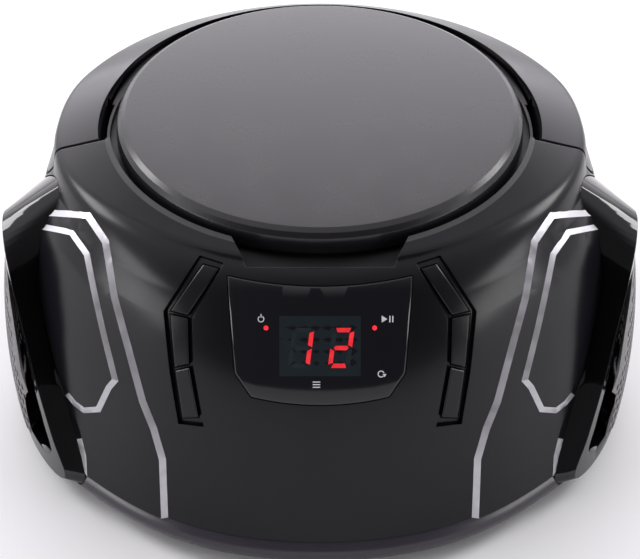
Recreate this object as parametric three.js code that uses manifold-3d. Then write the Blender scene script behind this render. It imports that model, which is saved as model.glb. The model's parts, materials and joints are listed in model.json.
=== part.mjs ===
// Portable CD boombox with a round disc lid, a wrap-round carry handle and two speaker pods.
// Millimetres, +Z up, front towards -Y. The pieces are drawn about the axis of the disc lid, and
// the whole group is then moved so that its origin is the middle of the footprint.
import * as THREE from 'three';
import { mergeVertices } from 'three/addons/utils/BufferGeometryUtils.js';
import Module from 'manifold-3d';

const wasm = await Module();
wasm.setup();

// ---------------------------------------------------------------- driving dimensions
const GAP = 0.3;                 // clearance between pieces that meet
const WALL = 3;                  // wall of the cabinet mouldings
const LID_AXIS_Y = 7;            // lid axis, behind the middle of the footprint
const LID_TOP_Z = 117;
const LID_R = 74.8;
const WELL_R = 77.5;             // round recess that the lid sits in
const LEDGE_Z = 104.5;           // shelf at the bottom of that recess
const SEAM_Z = 14;               // joint between top cabinet and bottom case
const FOOT_H = 2.5;
const DRAW_ANGLE = 40 * Math.PI / 180;   // the front details are moulded along this direction
const HANDLE_PIVOT = { y: 0, z: 100.5 };
const HANDLE_IN_R = 79.5;
const HANDLE_BAND = { shelfZ: 101, fall: 0.33, outR: 125, tilt: -0.053 };   // shelf that the band rests on
const HUB = { r: 16.7, x: 77.2, taper: 0.242, outX: 112 };   // cone-ended hubs; taper is lost radius per mm
const RING_TOP_Z = 107;          // thin wall between the lid recess and the handle
const RING_GAP = 0.9;            // between that wall and the handle, which moves inwards as it starts to lift
const RING_LEAN = 6.5;           // how much thicker that wall grows behind, where the tilted band leans back
const LID_PIVOT = { y: 66, z: 108.5 };
const BUTTON_PROUD = 0.5;
const POD_FACE = { x: 7.9, y: -18.9, r: 108.75 };  // upright cylinder that the pod rims lie on
const SPEAKER = { y: -29, z: 43, r: 28 };
const ANTENNA = { x: -45, y: 107.4, z: 75 };
const [LARGE, MEDIUM, SMALL] = [48, 24, 14];   // sides of round pieces, by size
const SLED_X = 23;               // laser lens, distance from the disc axis at rest
const PINION = { x: 39, y: -28.5, r: 6, teeth: 12 };

// ---------------------------------------------------------------- solids and booleans
const WELD = 1e-3;               // vertices closer than this are one

function toSolid(geometry) {
  const bare = geometry.index ? geometry.clone() : geometry;
  bare.deleteAttribute('normal');
  bare.deleteAttribute('uv');
  const merged = mergeVertices(bare, WELD);
  const p = merged.attributes.position;
  const index = merged.index.array;
  const corners = [];
  let volume = 0;
  const [a, b, c] = [new THREE.Vector3(), new THREE.Vector3(), new THREE.Vector3()];
  for (let i = 0; i < index.length; i += 3) {
    const [i0, i1, i2] = [index[i], index[i + 1], index[i + 2]];
    if (i0 === i1 || i1 === i2 || i2 === i0) continue;
    corners.push(i0, i1, i2);
    a.fromBufferAttribute(p, i0);
    b.fromBufferAttribute(p, i1).cross(c.fromBufferAttribute(p, i2));
    volume += a.dot(b);
  }
  if (volume < 0) corners.reverse();
  return new wasm.Manifold(new wasm.Mesh({
    numProp: 3,
    vertProperties: new Float32Array(p.array),
    triVerts: new Uint32Array(corners),
  }));
}

function bareGeometry(solid) {
  const mesh = solid.getMesh();
  const geometry = new THREE.BufferGeometry();
  geometry.setAttribute('position', new THREE.BufferAttribute(mesh.vertProperties, 3));
  geometry.setIndex(new THREE.BufferAttribute(mesh.triVerts, 1));
  return geometry;
}

// Welds the vertices that cuts have left closer together than WELD.
const welded = (solid) => toSolid(bareGeometry(solid));

function toGeometry(solid) {
  const geometry = bareGeometry(solid);
  geometry.computeVertexNormals();
  return geometry;
}

// The largest piece of a solid, without the slivers that a cut leaves at a feathered edge.
function mainBody(solid) {
  return solid.decompose().reduce((best, next) => (next.volume() > best.volume() ? next : best));
}

const join = (...solids) => solids.reduce((sum, next) => sum.add(next));
const cut = (solid, ...tools) => tools.reduce((rest, tool) => rest.subtract(tool), solid);

function box(x0, x1, y0, y1, z0, z1) {
  const g = new THREE.BoxGeometry(x1 - x0, y1 - y0, z1 - z0);
  return toSolid(g.translate((x0 + x1) / 2, (y0 + y1) / 2, (z0 + z1) / 2));
}

// Cylinder along one axis, from `from` to `to`, centred on `centre` in the other two.
function rod(axis, radius, from, to, centre = [0, 0], sides = SMALL) {
  const g = new THREE.CylinderGeometry(radius, radius, to - from, sides);
  const middle = (from + to) / 2;
  if (axis === 'x') g.rotateZ(-Math.PI / 2).translate(middle, centre[0], centre[1]);
  if (axis === 'y') g.translate(centre[0], middle, centre[1]);
  if (axis === 'z') g.rotateX(Math.PI / 2).translate(centre[0], centre[1], middle);
  return toSolid(g);
}

// A [radius, height] profile turned about Z; it starts and ends on the axis or closes on itself.
function turned(profile, sides = MEDIUM) {
  const g = new THREE.LatheGeometry(profile.map(([r, z]) => new THREE.Vector2(r, z)), sides);
  return toSolid(g.rotateX(Math.PI / 2));
}

// Closed rings of points, all with the same count, skinned one to the next and capped flat.
function loft(rings) {
  const count = rings[0].length;
  const positions = rings.flat().flatMap((p) => [p.x, p.y, p.z]);
  const faces = [];
  for (let k = 0; k + 1 < rings.length; k++) {
    for (let i = 0; i < count; i++) {
      const j = (i + 1) % count;
      const [a, b, c, d] = [k * count + i, k * count + j, (k + 1) * count + j, (k + 1) * count + i];
      faces.push(a, b, c, a, c, d);
    }
  }
  const flat = rings[0].map((p) => new THREE.Vector2(p.y, p.z));
  const flatByX = rings[0].every((p) => Math.abs(p.x - rings[0][0].x) < 1e-6);
  const outline = flatByX ? flat : rings[0].map((p) => new THREE.Vector2(p.x, p.y));
  const last = (rings.length - 1) * count;
  for (const [a, b, c] of THREE.ShapeUtils.triangulateShape(outline, [])) {
    const ccw = THREE.ShapeUtils.area(outline) > 0;
    const [p, q] = ccw ? [c, b] : [b, c];
    faces.push(a, p, q, last + a, last + q, last + p);
  }
  const g = new THREE.BufferGeometry();
  g.setAttribute('position', new THREE.Float32BufferAttribute(positions, 3));
  g.setIndex(faces);
  return toSolid(g);
}

// ---------------------------------------------------------------- shape of the cabinet
const clamp01 = (t) => Math.min(1, Math.max(0, t));

function lerpThrough(points, at) {
  let k = 0;
  while (k + 2 < points.length && at > points[k + 1][0]) k++;
  const [[x0, y0], [x1, y1]] = [points[k], points[k + 1]];
  return y0 + (y1 - y0) * clamp01((at - x0) / (x1 - x0));
}

// Larger of two distances, with the corner between them rounded over width k.
function roundMax(a, b, k) {
  const h = Math.max(k - Math.abs(a - b), 0) / k;
  return Math.max(a, b) + h * h * k / 4;
}

const FRONT_TOP_Z = 109.3;
const SIDE_FRONT = [[9, 122], [40, 116], [60, 113], [90, 108], [98, 104], [112, 101]];
const SIDE_REAR = [[14, 104], [85, 103], [98, 102], [112, 101]];
const SIDE_TURN = [[9, 0.15], [70, -0.15]];    // where the wider front part of the side begins

// How far the front stands forward at height z: a parabola-like bow from shoulder to seam.
function frontReach(z) {
  const drop = Math.max(FRONT_TOP_Z - z, 0);
  const t = (-32.8 + Math.sqrt(32.8 ** 2 + 250 * drop)) / 125;
  return 85 + 59.4 * t - 22.6 * t * t;
}

// Signed distance, roughly, to the outside of the cabinet: negative inside.
function cabinetField(x, y, z) {
  const rho = Math.hypot(x, y) + 1e-9;
  const forward = -y / rho;
  const bow = 100 + 50 * clamp01((98 - z) / 84);
  const bowY = bow - frontReach(z);
  const front = y < bowY ? Math.hypot(x, y - bowY) - bow : Math.abs(x) - bow;
  const w = clamp01((forward - lerpThrough(SIDE_TURN, z)) / 0.5);
  const share = w * w * (3 - 2 * w);
  const sideR = lerpThrough(SIDE_FRONT, z) + 120 * Math.max(0, forward - 0.72) ** 2;
  const rearR = lerpThrough(SIDE_REAR, z);
  const side = rho - (rearR + (sideR - rearR) * share);
  const rimZ = 104 - 0.053 * (y + 10);
  const dome = 0.95 * (z - (112 - (rho - WELL_R) * (112 - rimZ) / 24.5));
  return roundMax(roundMax(front, side, 9), dome, 2.5);
}

const UP = new THREE.Vector3(0, 0, 1);
const RAY_HEART = new THREE.Vector3(0, 0, 45);
const RAY_PITCH = [-17.5, -7, 4, 14, 21, 26, 29.5, 32, 35, 39, 48];
const RAY_TURNS = 40;

// Point of the cabinet skin, moved out by `offset`, on a ray from its heart.
function skinPoint(turn, pitch, offset) {
  const dir = new THREE.Vector3(Math.cos(pitch), 0, Math.sin(pitch)).applyAxisAngle(UP, turn);
  let [near, far] = [5, 190];
  for (let i = 0; i < 40; i++) {
    const mid = (near + far) / 2;
    const p = dir.clone().multiplyScalar(mid).add(RAY_HEART);
    if (cabinetField(p.x, p.y, p.z) > offset) far = mid;
    else near = mid;
  }
  return dir.multiplyScalar(near).add(RAY_HEART);
}

function cabinetSolid(offset) {
  const turns = Array.from({ length: RAY_TURNS }, (_, i) => 2 * Math.PI * i / RAY_TURNS);
  const rings = RAY_PITCH.map((deg) => turns.map((turn) => skinPoint(turn, deg * Math.PI / 180, offset)));
  const foot = rings[0].map((p) => new THREE.Vector3(p.x, p.y, 5));
  const crown = Array.from({ length: RAY_TURNS }, () => skinPoint(0, Math.PI / 2, offset));
  return loft([foot, ...rings, crown]);
}

// Plan outline of the cabinet at the seam, grown by `grow`, at height z.
function planRing(grow, z) {
  return Array.from({ length: RAY_TURNS }, (_, i) => {
    const turn = 2 * Math.PI * i / RAY_TURNS;
    let [near, far] = [5, 190];
    for (let k = 0; k < 40; k++) {
      const mid = (near + far) / 2;
      if (cabinetField(mid * Math.cos(turn), mid * Math.sin(turn), SEAM_Z) > 0) far = mid;
      else near = mid;
    }
    return new THREE.Vector3((near + grow) * Math.cos(turn), (near + grow) * Math.sin(turn), z);
  });
}

// ---------------------------------------------------------------- front details
// Draw plane: u across, v up and back, w along the moulding direction, out of the front.
const DRAW = new THREE.Matrix4().makeBasis(
  new THREE.Vector3(1, 0, 0),
  new THREE.Vector3(0, Math.sin(DRAW_ANGLE), Math.cos(DRAW_ANGLE)),
  new THREE.Vector3(0, -Math.cos(DRAW_ANGLE), Math.sin(DRAW_ANGLE)),
);
const DRAW_IN = 102;             // depth range of the cutters for front details
const DRAW_OUT = 150;

function prism(outline, w0 = DRAW_IN, w1 = DRAW_OUT) {
  const shape = new THREE.Shape(outline.map(([u, v]) => new THREE.Vector2(u, v)));
  const g = new THREE.ExtrudeGeometry(shape, { depth: w1 - w0, bevelEnabled: false });
  return toSolid(g.translate(0, 0, w0).applyMatrix4(DRAW));
}

// Outline moved outwards by `grow`, corner by corner.
function offsetOutline(outline, grow) {
  const area = THREE.ShapeUtils.area(outline.map(([u, v]) => new THREE.Vector2(u, v)));
  const sign = area > 0 ? 1 : -1;
  const n = outline.length;
  return outline.map((p, i) => {
    const [a, b] = [outline[(i + n - 1) % n], outline[(i + 1) % n]];
    const e0 = new THREE.Vector2(p[0] - a[0], p[1] - a[1]).normalize();
    const e1 = new THREE.Vector2(b[0] - p[0], b[1] - p[1]).normalize();
    const n0 = new THREE.Vector2(e0.y, -e0.x).multiplyScalar(sign);
    const n1 = new THREE.Vector2(e1.y, -e1.x).multiplyScalar(sign);
    const miter = n0.clone().add(n1);
    const k = 2 * grow / miter.lengthSq();
    return [p[0] + miter.x * k, p[1] + miter.y * k];
  });
}

const mirrored = (outline) => outline.map(([u, v]) => [-u, v]).reverse();

function arcPoints(u0, u1, vEnd, vMiddle, steps) {
  return Array.from({ length: steps + 1 }, (_, i) => {
    const t = 2 * i / steps - 1;
    return [u0 + (u1 - u0) * i / steps, vMiddle + (vEnd - vMiddle) * t * t];
  });
}

const LENS = [
  ...arcPoints(-31.5, 31.5, 26.2, 22.4, 6),
  [29, -6.9],
  ...arcPoints(23.6, -23.6, -15, -17.8, 4),
  [-29, -6.9],
];
const CHANNEL = [[-41.2, 33.4], [-32.8, 30.6], [-43.7, 11.5], [-43.5, -5], [-40.2, -25.8],
  [-49.4, -25], [-52, -6.5], [-53.8, 14.3]];
const BUTTONS = {
  upper: [[-39.9, 30.2], [-34.5, 28.6], [-45.3, 12.9], [-51.3, 14.4]],
  middle: [[-51.4, 13.2], [-45.3, 11.7], [-45, -3.9], [-50.2, -5.1]],
  lower: [[-50, -6.3], [-45, -5.1], [-42.1, -22.4], [-47.9, -22.8]],
};

// ---------------------------------------------------------------- speaker pods
// Outlines in y and z, from the top corner down the front, along the bottom and up the rear.
const POD_BASE = [[-25, 100], [-37, 85], [-44, 71], [-55, 60], [-63, 48], [-71, 37], [-78, 25], [-87, 9],
  [-40, 6.5], [12, 9], [17, 26], [12, 56], [-3, 86]];
const POD_RIM = [[-27, 86], [-48, 81], [-57, 73], [-64, 64], [-69, 53], [-74, 41], [-80, 27], [-85.8, 11],
  [-40, 8], [4, 11], [9, 28], [3, 56], [-11, 78]];
const POD_CENTRE = [-34, 43];
const POD_STEPS = 36;
const POD_ROOT_X = 86;

function smoothLoop(points) {
  const places = points.map(([y, z]) => new THREE.Vector3(0, y, z));
  const curve = new THREE.CatmullRomCurve3(places, true, 'centripetal');
  return curve.getPoints(POD_STEPS).slice(0, POD_STEPS);
}

function skinX(y, z) {
  let [near, far] = [40, 140];
  for (let i = 0; i < 40; i++) {
    const mid = (near + far) / 2;
    if (cabinetField(mid, y, z) > 0) far = mid;
    else near = mid;
  }
  return near;
}

const rimX = (y) => POD_FACE.x + Math.sqrt(POD_FACE.r ** 2 - (y - POD_FACE.y) ** 2);

// The pod as a plug from inside the cabinet to its face, on the side given by sign.
function podPlug(sign, scale = 1, grow = 0, faceDrop = 0) {
  const fit = (p) => {
    const away = new THREE.Vector2(p.y - POD_CENTRE[0], p.z - POD_CENTRE[1]);
    away.setLength(away.length() * scale + grow);
    return [POD_CENTRE[0] + away.x, POD_CENTRE[1] + away.y];
  };
  const rootX = POD_ROOT_X - (scale < 1 ? 10 : 0) - (grow > 0 ? 1 : 0);
  const base = smoothLoop(POD_BASE);
  const rim = smoothLoop(POD_RIM);
  const rings = [[], [], [], []];
  const past = 0.6;              // share of its depth that the plug runs on past the rim
  for (let i = 0; i < POD_STEPS; i++) {
    const [by, bz] = fit(base[i]);
    const [ry, rz] = fit(rim[i]);
    const bx = Math.min(skinX(base[i].y, base[i].z), rimX(rim[i].y) - 5);
    const rx = rimX(rim[i].y);
    const [ox, oy, oz] = [rx + past * (rx - bx), ry + past * (ry - by), rz + past * (rz - bz)];
    const spread = [[rootX, by, bz], [bx, by, bz], [rx, ry, rz], [ox, oy, oz]];
    spread.forEach(([x, y, z], k) => rings[k].push(new THREE.Vector3(sign * x, y, z)));
  }
  const face = rod('z', POD_FACE.r - faceDrop, -20, 140, [sign * POD_FACE.x, POD_FACE.y], 80);
  return loft(rings).intersect(face);
}

function grilleBulge(shrink) {
  const g = new THREE.SphereGeometry(1, 28, 18);
  return g.scale(60 - shrink, 69 - shrink, 105 - shrink);
}

// ---------------------------------------------------------------- the assembly
const group = new THREE.Group();
group.position.set(0, LID_AXIS_Y, 0);

const finish = (color, roughness, metalness = 0) => ({ color, roughness, metalness });
const GLOSS_BLACK = finish(0x08080a, 0.12);
const MATT_BLACK = finish(0x141416, 0.6);
const CASE_GREY = finish(0x3b3940, 0.35);
const DARK_LENS = finish(0x050507, 0.05);
const STEEL = finish(0xb9bbbe, 0.3, 1);
const GRILLE_METAL = finish(0x6f6d70, 0.4, 1);
const GREEN_BOARD = finish(0x1d5a38, 0.5);
const RUBBER = finish(0x1a1a1a, 0.9);
const PAPER_CONE = finish(0x17171a, 0.8);
const COPPER = finish(0xa86a3c, 0.4, 1);

function add(name, solid, look, place = group) {
  const mesh = new THREE.Mesh(toGeometry(solid), new THREE.MeshStandardMaterial(look));
  mesh.name = name;
  place.add(mesh);
  return mesh;
}

const SIDES = [['left', -1], ['right', 1]];

// Handle space: the band behind the pivot plus a cone-ended hub round the pivot axis.
function handleSpace(inner, clear) {
  const { shelfZ, fall, outR, tilt } = HANDLE_BAND;
  const shelf = shelfZ - clear;
  const band = turned([[inner, shelf], [outR, shelf - fall * (outR - inner)], [outR, 140], [inner, 140],
    [inner, shelf]], LARGE);
  const tilted = band.transform(new THREE.Matrix4().makeRotationX(tilt).elements);
  const rear = tilted.intersect(box(-130, 130, HANDLE_PIVOT.y, 130, 60, 150));
  const hubs = SIDES.map(([, sign]) => {
    const inX = inner - 3;
    const radiusAt = (x) => HUB.r - HUB.taper * (x - HUB.x) + clear;
    const cone = new THREE.CylinderGeometry(radiusAt(HUB.outX), radiusAt(inX), HUB.outX - inX, LARGE);
    cone.rotateZ(-Math.PI / 2).translate((inX + HUB.outX) / 2, 0, 0);
    if (sign < 0) cone.rotateZ(Math.PI);
    return toSolid(cone.translate(0, HANDLE_PIVOT.y, HANDLE_PIVOT.z));
  });
  return cut(join(rear, ...hubs), rod('z', inner, 60, 150, [0, 0], LARGE));
}

const notchOutline = (grow) => {
  const [wide, narrow, front] = [31 + grow, 25.3 + grow, -85.2 - grow];
  const shape = new THREE.Shape();
  shape.moveTo(-wide, -60);
  shape.lineTo(-wide, -70);
  shape.lineTo(-narrow, front + 1.6);
  shape.quadraticCurveTo(0, front - 1.2, narrow, front + 1.6);
  shape.lineTo(wide, -70);
  shape.lineTo(wide, -60);
  return shape;
};

function notch(grow, z0) {
  const g = new THREE.ExtrudeGeometry(notchOutline(grow), { depth: 40, bevelEnabled: false, curveSegments: 6 });
  return toSolid(g.translate(0, 0, z0));
}

const LID_POCKET = { x: 38, y: 69, z: 100.3 };
const REAR_PANEL = { x: 40, y: 96, z0: 20, z1: 66 };

// Everything that the outside of the top cabinet is hollowed by, grown by `wall` for its inside.
function cabinetHollows(wall) {
  const well = rod('z', WELL_R + wall, LEDGE_Z - wall, 150, [0, 0], LARGE);
  const { x, y, z } = LID_POCKET;
  const pocket = box(-x - wall, x + wall, y - wall, 90, z - wall, 150)
    .intersect(rod('z', WELL_R + wall, 60, 150, [0, 0], LARGE));
  const panel = box(-REAR_PANEL.x - wall, REAR_PANEL.x + wall, REAR_PANEL.y - wall, 140,
    REAR_PANEL.z0 - wall, REAR_PANEL.z1 + wall);
  const ringGap = wall > 0 ? GAP : RING_GAP;
  const forHandle = handleSpace(HANDLE_IN_R - ringGap - wall, wall + 2 * GAP);
  return join(well, pocket, notch(wall, LEDGE_Z - wall), forHandle, panel);
}

const skin = cabinetSolid(0);
const POD_HOLES = SIDES.map(([, sign]) => podPlug(sign, 1, 0.4, -12));
const HINGE_EARS = [-29, 29];

function topCabinet() {
  const above = box(-150, 150, -150, 150, SEAM_Z + GAP, 150);
  const outer = cut(skin.intersect(above), cabinetHollows(0));
  const inner = cut(cabinetSolid(-WALL), cabinetHollows(WALL));
  let shell = outer.subtract(inner);
  for (const mirror of [(o) => o, mirrored]) {
    shell = shell.subtract(cut(prism(mirror(CHANNEL)), cabinetSolid(-1.6)));
    for (const outline of Object.values(BUTTONS)) {
      shell = shell.subtract(prism(offsetOutline(mirror(outline), 0.35), 96));
    }
  }
  const sideGap = cut(rod('z', HANDLE_IN_R, RING_TOP_Z, 150, [0, 0], LARGE),
    box(-150, 150, -150, -12, 100, 160));
  const rearGap = rod('z', HANDLE_IN_R + RING_LEAN, RING_TOP_Z, 150, [0, 0], LARGE)
    .intersect(box(-150, 150, HANDLE_PIVOT.y, 150, 100, 160));
  shell = cut(shell, prism(offsetOutline(LENS, GAP)), rod('z', 66, 80, 150, [0, 0], LARGE),
    sideGap, rearGap, ...POD_HOLES);
  for (const [, sign] of SIDES) {
    const [x0, x1] = [70.6, 77.8].map((x) => x * sign).sort((a, b) => a - b);
    shell = shell.add(box(x0, x1, -6, 6, 93, LEDGE_Z - 1));
    const [b0, b1] = [70, 84].map((x) => x * sign).sort((a, b) => a - b);
    shell = shell.subtract(rod('x', 2.5, b0, b1, [HANDLE_PIVOT.y, HANDLE_PIVOT.z]));
  }
  for (const x of HINGE_EARS) {
    const ear = join(
      box(x - 2.5, x + 2.5, LID_PIVOT.y - 2.5, LID_PIVOT.y + 2.5, LEDGE_Z - 1, LID_PIVOT.z),
      rod('x', 2.5, x - 2.5, x + 2.5, [LID_PIVOT.y, LID_PIVOT.z]),
    );
    shell = shell.add(cut(ear, rod('x', 1.6, x - 4, x + 4, [LID_PIVOT.y, LID_PIVOT.z])));
  }
  return welded(mainBody(cut(shell, acInletBlock(GAP), ...rearHoles())));
}

// ---------------------------------------------------------------- rear panel fittings
const INLET = { x: -24, z: 42, w: 24, h: 17 };
const JACK = { x: 22, z: 42 };
const SWITCH = { x: 0, z: 30 };
const ROTARY_TURN = { volume: 138, tuning: 42 };   // degrees round from +X
const ROTARY_Z = 52;

function acInletBlock(grow) {
  return box(INLET.x - INLET.w / 2 - grow, INLET.x + INLET.w / 2 + grow, 78 - grow, REAR_PANEL.y + 1,
    INLET.z - INLET.h / 2 - grow, INLET.z + INLET.h / 2 + grow);
}

function aboutTurn(solid, degrees) {
  return solid.rotate([0, 0, degrees]);
}

function rearHoles() {
  const knobs = Object.values(ROTARY_TURN).map((deg) => aboutTurn(rod('x', 4, 90, 120, [0, ROTARY_Z]), deg));
  return [
    ...knobs,
    rod('y', 5.3, 85, 120, [JACK.x, JACK.z]),
    box(SWITCH.x - 7, SWITCH.x + 7, 90, 120, SWITCH.z - 2.3, SWITCH.z + 2.3),
    rod('y', 5.3, 80, 120, [ANTENNA.x, ANTENNA.z]),
  ];
}

add('top_cabinet', topCabinet(), GLOSS_BLACK);

// ---------------------------------------------------------------- bottom case and battery bay
const BAY = { x: 78, y0: 3, y1: 57, top: 35 };
const DOOR = { x: 74, y0: 7, y1: 54 };
const FEET = [[-62, -62], [62, -62], [-52, 74], [52, 74]];
const SCREWS = [[-82, -30], [82, -30], [-30, 84], [30, 84]];

function bottomCase() {
  const outside = loft([planRing(-3.5, FOOT_H), planRing(-0.8, 4.5), planRing(1.6, 7), planRing(2.2, 10),
    planRing(0.6, SEAM_Z - 1), planRing(-0.4, SEAM_Z)]);
  const inside = loft([planRing(-6, 5.5), planRing(-3, 9), planRing(-3)]);
  const bayOut = box(-BAY.x - 2, BAY.x + 2, BAY.y0 - 2, BAY.y1 + 2, FOOT_H, BAY.top + 2);
  const bayIn = box(-BAY.x, BAY.x, BAY.y0, BAY.y1, 5.2, BAY.top);
  const doorway = box(-DOOR.x - GAP, DOOR.x + GAP, DOOR.y0 - GAP, DOOR.y1 + GAP, 0, 5.3);
  let shell = join(cut(outside, inside), bayOut.intersect(join(outside, box(-150, 150, -150, 150, 9, 60))));
  for (const [x, y] of SCREWS) shell = shell.add(rod('z', 5, FOOT_H, 12.5, [x, y]));
  for (const [x, y] of SCREWS) {
    shell = cut(shell, rod('z', 1.8, 0, 20, [x, y]), rod('z', 3.6, 0, 6.5, [x, y]));
  }
  for (const [x, y] of FEET) shell = shell.subtract(rod('z', 9.3, 0, 3.3, [x, y]));
  const hingeSlots = [-50, 50].map((x) => box(x - 6.3, x + 6.3, DOOR.y0 - 4.6, DOOR.y0 + 1, 0, 7.4));
  return cut(shell, bayIn, doorway, ...hingeSlots, ...POD_HOLES);
}

add('bottom_case', bottomCase(), CASE_GREY);

// The door turns about a line near its front edge; two lugs reach into slots of the case.
const DOOR_PIVOT = { y: DOOR.y0 - 1.6, z: 3.1 };
const door = join(
  box(-DOOR.x, DOOR.x, DOOR.y0, DOOR.y1, FOOT_H, 4.8),
  ...[-50, 50].map((x) => join(
    box(x - 6, x + 6, DOOR_PIVOT.y, DOOR.y0 + 1, FOOT_H + 0.4, 4.8),
    rod('x', 1.3, x - 6, x + 6, [DOOR_PIVOT.y, DOOR_PIVOT.z]),
  )),
);
add('battery_door', door, CASE_GREY);

function contactSpring(x, y) {
  const turns = 4;
  class Helix extends THREE.Curve {
    getPoint(t) {
      const a = t * turns * 2 * Math.PI;
      return new THREE.Vector3(t * 8, 4.2 * Math.cos(a), 4.2 * Math.sin(a));
    }
  }
  const wire = new THREE.Shape();
  wire.absarc(0, 0, 0.5, 0, 2 * Math.PI);
  const look = { steps: 28, curveSegments: 2, extrudePath: new Helix(), bevelEnabled: false };
  const g = new THREE.ExtrudeGeometry(wire, look);
  return toSolid(g).translate([x, y, 19]);
}
const CELL_ROWS = [16.5, 43.5];
const strip = (x0, x1) => box(x0, x1, CELL_ROWS[0] - 8, CELL_ROWS[1] + 8, 15, 23);
add('battery_spring_strip', join(
  strip(-BAY.x + 0.4, -BAY.x + 1.6),
  ...CELL_ROWS.map((y) => contactSpring(-BAY.x + 1.2, y)),
), STEEL);
add('battery_contact_strip', join(
  strip(BAY.x - 1.6, BAY.x - 0.4),
  ...CELL_ROWS.map((y) => rod('x', 4, BAY.x - 2.6, BAY.x - 1, [y, 19])),
), STEEL);

FEET.forEach(([x, y], i) => {
  add(`rubber_foot_${i + 1}`, turned([[0, 0], [8, 0], [9, 1], [9, 3], [0, 3]]).translate([x, y, 0]), RUBBER);
});
const screw = turned([[0, 4], [3.3, 4], [3.3, 6.2], [1.5, 6.2], [1.5, 12.2], [0, 12.2]]);
SCREWS.forEach(([x, y], i) => add(`case_screw_${i + 1}`, screw.translate([x, y, 0]), STEEL));

// ---------------------------------------------------------------- disc lid and its hinge
const lidShell = turned([[0, 114], [40, 113.7], [70, 112.2], [72.6, 112], [72.6, 107.2], [LID_R, 107.2],
  [LID_R, 113.2], [72, 116], [40, 116.75], [0, LID_TOP_Z]], LARGE);
const lidLugs = [-20, 20].map((x) => cut(
  join(
    box(x - 4, x + 4, LID_PIVOT.y - 2.6, LID_PIVOT.y + 2.6, LID_PIVOT.z, 113.2),
    rod('x', 2.6, x - 4, x + 4, [LID_PIVOT.y, LID_PIVOT.z]),
  ),
  rod('x', 1.6, x - 6, x + 6, [LID_PIVOT.y, LID_PIVOT.z]),
));
const lid = join(cut(lidShell, box(-40, 40, 55, 90, 100, 111.7)), ...lidLugs);
add('cd_lid', lid, GLOSS_BLACK);
const clampProfile = [[0, 107.6], [6, 107.6], [13, 108.6], [13, 110.5], [4, 111.2], [4, 113.6], [0, 113.6]];
add('disc_clamp', turned(clampProfile, MEDIUM), MATT_BLACK);
add('lid_hinge_pin', rod('x', 1.3, -32.5, 32.5, [LID_PIVOT.y, LID_PIVOT.z]), STEEL);

// ---------------------------------------------------------------- disc well
const tray = cut(
  turned([[0, 96.5], [64, 96.5], [65.6, 98], [65.6, LEDGE_Z + GAP], [69.5, LEDGE_Z + GAP], [69.5, 106.3],
    [63.6, 106.3], [62.2, 98.5], [0, 98.5]], LARGE),
  rod('z', 17.5, 90, 100, [0, 0], MEDIUM),
  box(17, 59, -8, 8, 90, 100),
  box(-40, 40, 63, 80, 100, 110),
);
add('cd_well_tray', tray, MATT_BLACK);

// ---------------------------------------------------------------- carry handle
const handleShape = handleSpace(HANDLE_IN_R, 0).intersect(skin);
const handleBores = SIDES.map(([, sign]) => {
  const [b0, b1] = [70, 97.6].map((x) => x * sign).sort((a, b) => a - b);
  return rod('x', 2.5, b0, b1, [HANDLE_PIVOT.y, HANDLE_PIVOT.z]);
});
// The inner face of each hub is flat, so that it turns past the wall round the lid recess.
const hubFaces = SIDES.map(([, sign]) => {
  const [x0, x1] = [60 * sign, HANDLE_IN_R * sign].sort((a, b) => a - b);
  return box(x0, x1, -20, HUB.r + 0.6, 60, 150);
});
const innerChamfer = turned([[HANDLE_IN_R - 4, 106], [HANDLE_IN_R, 106], [HANDLE_IN_R + 4.4, 115],
  [HANDLE_IN_R - 4, 115], [HANDLE_IN_R - 4, 106]], LARGE);
add('carry_handle', cut(handleShape, innerChamfer, ...hubFaces, ...handleBores), GLOSS_BLACK);
for (const [name, sign] of SIDES) {
  const [p0, p1] = [70.9, 97.2].map((x) => x * sign).sort((a, b) => a - b);
  add(`handle_pivot_pin_${name}`, rod('x', 2.2, p0, p1, [HANDLE_PIVOT.y, HANDLE_PIVOT.z]), STEEL);
}

// ---------------------------------------------------------------- speaker pods
for (const [name, sign] of SIDES) {
  const frame = cut(podPlug(sign), podPlug(sign, 0.87, 0, -3), handleSpace(HANDLE_IN_R - 2, 1.2));
  add(`pod_bezel_${name}`, mainBody(frame), GLOSS_BLACK);
  const shift = [sign * 59, -22, 42];
  const dome = toSolid(grilleBulge(0)).subtract(toSolid(grilleBulge(1.2))).translate(shift);
  const opening = podPlug(sign, 0.87, -GAP, -8);
  add(`speaker_grille_${name}`, dome.intersect(opening).intersect(sideHalf(sign)), GRILLE_METAL);

  const outward = (solid) => solid.rotate([0, 90 * sign, 0]).translate([sign * 105.5, SPEAKER.y, SPEAKER.z]);
  const R = SPEAKER.r;
  const basket = turned([[R - 4, 0], [R, 0], [R, -2.5], [R - 4, -2.5], [17, -20], [17, -34], [0, -34],
    [0, -21.4], [15.6, -21.4], [15.6, -19], [R - 5.6, -1.6], [R - 5.6, 0], [R - 4, 0]], MEDIUM);
  add(`speaker_basket_${name}`, outward(basket), STEEL);
  const cone = turned([[0, -13], [8, -12], [R - 8.4, -2.2], [R - 6.2, -1], [R - 6.2, -1.8], [R - 8.4, -3.2],
    [8, -13.2], [6.6, -20], [0, -20]], MEDIUM);
  add(`speaker_cone_${name}`, outward(cone), PAPER_CONE);
}

function sideHalf(sign) {
  return sign < 0 ? box(-140, -60, -110, 60, -10, 120) : box(60, 140, -110, 60, -10, 120);
}

// ---------------------------------------------------------------- display and buttons
const lens = prism(LENS).intersect(cut(cabinetSolid(0.8), cabinetSolid(-1.8)));
add('display_lens', lens, DARK_LENS);
add('display_module', prism([[-17, -9.5], [17, -9.5], [17, 13], [-17, 13]], 103.6, 122), MATT_BLACK);
add('control_pcb', prism([[-48, -30], [48, -30], [48, 14], [-48, 14]], 101, 102.6), GREEN_BOARD);

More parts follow.
